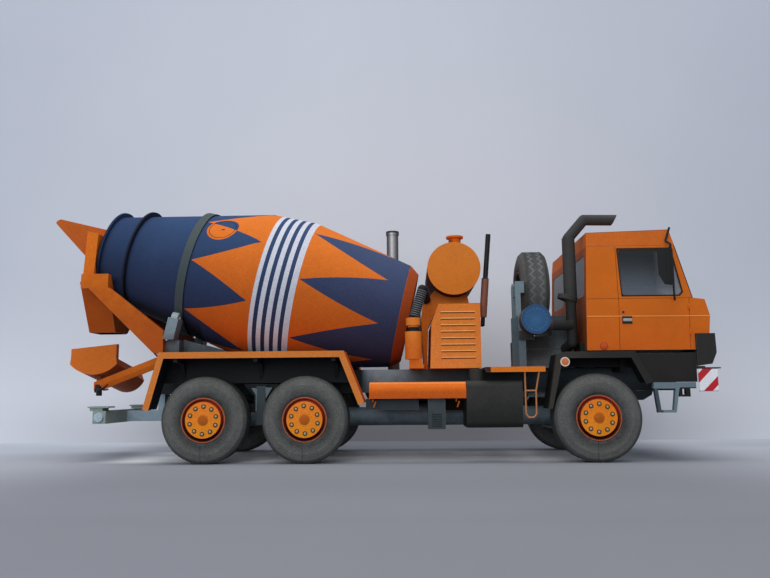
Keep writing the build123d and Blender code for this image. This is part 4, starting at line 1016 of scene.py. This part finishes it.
@printed("hazard plate print", "hazard_plates", worn=FIBRE, roughness=0.5, wear=0.2)
def hazard(f, w):
    """White plate with red slanted stripes between a dark bracket and a dark foot."""
    slant = w.less(w.less(f.x, 133.9), w.less(f.z, 37.1))
    color = w.mix(w.either(w.between(slant, 1.8, 5.6), w.between(slant, 10.6, 14.2)), "E2E4E8", "BC2630")
    return w.mix(w.either(w.above(f.z, 36.95), w.below(f.z, 28.2)), color, "2C2E33")


@printed("roller stand print and painted shade", "roller_stand", worn="B5C2C6")
def roller_stand(f, w):
    """Steel blue-grey stand, darker downwards, with painted shade: black near its foot and darker on faces
    that look up.
    """
    # painted shade: black near the foot
    color = w.mix(w.ramp(f.z, 45.6, 44.8), f.fade("7A8B93", "4C5256", 60, 46), "16191B")
    return w.mix(w.above(f.facing(2), 0.6), color, "4A5A60")


@printed("tail beam print and painted light", "tail_beam", worn="AEB8BA")
def beam(f, w):
    """Grey-green beam with painted light, paler on its sides and darker on faces that look up, with a pale
    round tube and a blue-grey centre beam.
    """
    tube = w.both(w.below(f.off(-115.2, 18.9), 2.05), w.above(w.size(f.y), 27))
    # painted light: paler on the sides, darker on faces that look up
    body = w.mix(w.above(f.facing(2), 0.5), "86948F", "525B5B")
    return w.mix(tube, w.mix(w.above(f.x, -112), body, "889AA5"), "A2B4BE")


@printed("fuel tank print", "fuel_tank", worn="7E807A", speckle=0.16)
def fuel(f, w):
    return f.fade("343431", "20211F", 31, 16)


dress(card("roller card", "9AA8AC", roughness=0.4), "drum_rollers")
dress(dark_card, "front_bumper")
dress(mirror_shell, "mirrors")


# ------ hopper, chute
def near_swivel(f, radius, height):
    """A mask of what lies close round the chute's upright axis, below a height."""
    w = f.w
    return w.both(w.below(w.reach(f.flat(1, 1, 0), SWIVEL), radius), w.below(f.z, height))


@printed("hopper print and painted shade", "hopper")
def hopper(f, w):
    """Orange outside, with dark red-brown painted shade inside."""
    # painted shade: dark red-brown inside
    return w.mix(f.inside((-129, 0, 97)), "B8591A", "7A3219")


@printed("discharge print and painted shade", "discharge_box")
def discharge(f, w):
    """Orange outside, with painted shade on the face towards the drum and dark painted shade inside."""
    # painted shade: dim towards the drum, dark inside
    return w.mix(f.inside((-122, 0, 70)), w.mix(w.above(f.facing(0), 0.3), "AC4E10", "6E3414"), "3A1A12")


@printed("hopper arm print and painted shade", "hopper_arms")
def arm(f, w):
    """Orange arms, with painted shade: darker downwards and brown on the faces turned inwards."""
    # painted shade: brown on the faces turned inwards
    inner = w.below(w.times(f.y, f.facing(1)), -2)
    return w.mix(inner, f.fade("D66E14", "A64C0C", 100, 50), "52220F")


@printed("chute print and painted shade", "chute")
def chute(f, w):
    """Orange trough with painted shade, dimmer under it and red-brown inside it, and a dark pin whose upper
    part is brown painted shadow under the trough.
    """
    looks_up = f.facing(2)
    # painted shade: dimmer under the trough
    color = w.mix(w.below(looks_up, -0.25), "CE6A20", "9C481E")
    # painted shade: red-brown inside the trough
    color = w.mix(w.both(w.above(looks_up, 0.1), f.inside((-127, 10, 46))), color, "6E2C1A")
    # painted shadow: the pin's upper part is brown under the trough
    return w.mix(near_swivel(f, 2.8, 40), color, w.mix(w.above(f.z, 33.1), "232323", "7A3812"))


@printed("chute bar print", "chute_bar", worn="F0BE98")
def chute_bar(f, w):
    """Orange bar with the dark swivel boss at its end."""
    return w.mix(near_swivel(f, 2.3, 33.2), f.fade("D8701A", "C45E10", 46, 32), "242424")


@single("card_dark", black_card)
def swivel_lever(bm):
    """Small dark lock lever under the chute's swivel."""
    wire(bm, (-126.4, -1.2, 30.2), (-122.6, -1.4, 33.4), 0.35, 0.08)
    wire(bm, (-124.9, -1.2, 30.6), (-122.4, -1.4, 30.9), 0.35, 0.08)


@paired("card_dark", amber_lens, red_lens, clear_lens)
def tail_lamps(bm, sign):
    """Lamp lenses on the rear face of the tail beam."""
    for tone, (inner, outer) in enumerate(((23.1, 26.1), (19.9, 22.5), (16.9, 19.5))):
        brick(bm, (-118.3, sign * inner, 17.3), (-117.9, sign * outer, 20.5), 0.12, tone=tone)


# ------ floor, backdrop, light, camera
def stage_finish(name, rule, one_sided=False):
    """Plain matt paper; rule gives its colour from the finish and its wiring."""
    f = Finish(name)
    w = f.w
    tone = w.ramp(w.noise(f.point, 0.012, 3), 0.3, 0.7, 0.985, 1.015)
    f.set(Base_Color=w.mix(1, rule(f, w), tone, blend="MULTIPLY"), Roughness=0.9, Specular_IOR_Level=0.1)
    if one_sided:
        back = w.add("ShaderNodeNewGeometry").outputs["Backfacing"]
        clear = w.add("ShaderNodeBsdfTransparent").outputs[0]
        w.fill(f.output, w.fill(w.add("ShaderNodeMixShader"), back, f.shader.outputs[0], clear)[0])
    return f.material


def floor_tone(f, w):
    """Pale paper with painted light: darker towards the front and towards +x, painted shadow in front of and
    behind the truck, and painted light in the shadow under it.
    """
    # painted light falloff: darker towards the front and towards +x
    side = w.ramp(f.x, -260, 260)
    close, far = w.mix(side, "82858C", "797A80"), w.mix(side, "C2C8D2", "B4B9C3")
    color = w.mix(w.ramp(f.y, -170, WALL_Y), close, far)
    off = w.gap(f.x, 10)
    # painted shadow in front of the truck
    front = w.both(w.soft(f.y, -185, -95, 0, 0.43), w.soft(off, 85, 160, 1, 0))
    color = w.mix(front, color, "5C5E64")
    # painted shadow behind the truck
    behind = w.both(w.soft(f.y, 30, 60, 0, 0.82), w.soft(off, 90, 160, 1, 0.2))
    color = w.mix(behind, color, "6C7078")
    # painted light in the shadow under the truck
    under = w.both(w.soft(w.size(f.y), 20, 36, 1, 0), w.soft(w.size(f.x), 96, 124, 1, 0))
    return w.mix(under, color, "F4F6FA")


def wall_tone(f, w):
    """Pale paper with painted light: lighter round the middle and low down, and a painted shadow low down
    behind the truck.
    """
    # painted light falloff: lighter round the middle and low down
    away = f.off(-20, 60)
    color = w.mix(w.soft(away, 20, 330), "D6DAE2", "BCC1CD")
    color = w.mix(w.soft(f.z, 110, 0), color, "DADDE4")
    # painted shadow low down behind the truck
    shade = w.both(w.soft(f.z, 34, 4), w.ramp(w.size(f.x), 60, 240, 0.66, 0.05))
    return w.mix(shade, color, "6A6C74")


def build_stage():
    bm = bmesh.new()
    bmesh.ops.create_grid(bm, x_segments=2, y_segments=2, size=2500)
    as_object("floor", bm, [stage_finish("floor paper", floor_tone)])
    bm = bmesh.new()
    edge = bm.edges.new([bm.verts.new((x, WALL_Y, -1)) for x in (-1500, 1500)])
    for rise in (300, 600):
        made = bmesh.ops.extrude_edge_only(bm, edges=[edge])["geom"]
        verts = [item for item in made if isinstance(item, bmesh.types.BMVert)]
        bmesh.ops.translate(bm, verts=verts, vec=(0, 0, rise))
        edge = next(item for item in made if isinstance(item, bmesh.types.BMEdge))
    bmesh.ops.recalc_face_normals(bm, faces=bm.faces)
    if bm.faces[:][-1].normal.y > 0:
        bmesh.ops.reverse_faces(bm, faces=bm.faces)
    as_object("backdrop", bm, [stage_finish("backdrop paper", wall_tone, one_sided=True)])


def softbox(name, place, target, width, height, energy, color):
    lamp = bpy.data.lights.new(name, "AREA")
    lamp.shape = "RECTANGLE"
    lamp.size, lamp.size_y = width, height
    lamp.energy = energy
    lamp.color = color
    obj = placed_object(name, lamp)
    obj.location = place
    obj.rotation_euler = (Vector(target) - Vector(place)).to_track_quat("-Z", "Y").to_euler()


def build_light():
    softbox("overhead softbox", (0.05, -0.15, 0.95), (0, 0, 0), 0.9, 0.7, 7, (1, 0.98, 0.95))
    softbox("front fill", (-0.25, -1, 0.35), (0, 0, 0.05), 0.9, 0.6, 4.5, (0.96, 0.98, 1))
    world = bpy.data.worlds.new("room")
    bpy.context.scene.world = world
    world.use_nodes = True
    background = world.node_tree.nodes["Background"]
    background.inputs["Color"].default_value = (0.86, 0.91, 1, 1)
    background.inputs["Strength"].default_value = 0.5


def build_camera():
    camera = bpy.data.cameras.new("camera")
    camera.lens = 34.41
    camera.sensor_width = 36.0
    camera.clip_start = 0.01
    yaw, pitch, roll = -0.0330, 0.1399, -0.0079
    matrix = Matrix.Translation((0.01764, -0.34154, 0.02844))
    for angle, axis in ((-yaw, "Z"), (pi / 2 + pitch, "X"), (roll, "Z")):
        matrix = matrix @ Matrix.Rotation(angle, 4, axis)
    obj = placed_object("camera", camera)
    obj.matrix_world = matrix
    bpy.context.scene.camera = obj


build_stage()
build_light()
build_camera()
bpy.context.scene.view_settings.view_transform = "Standard"
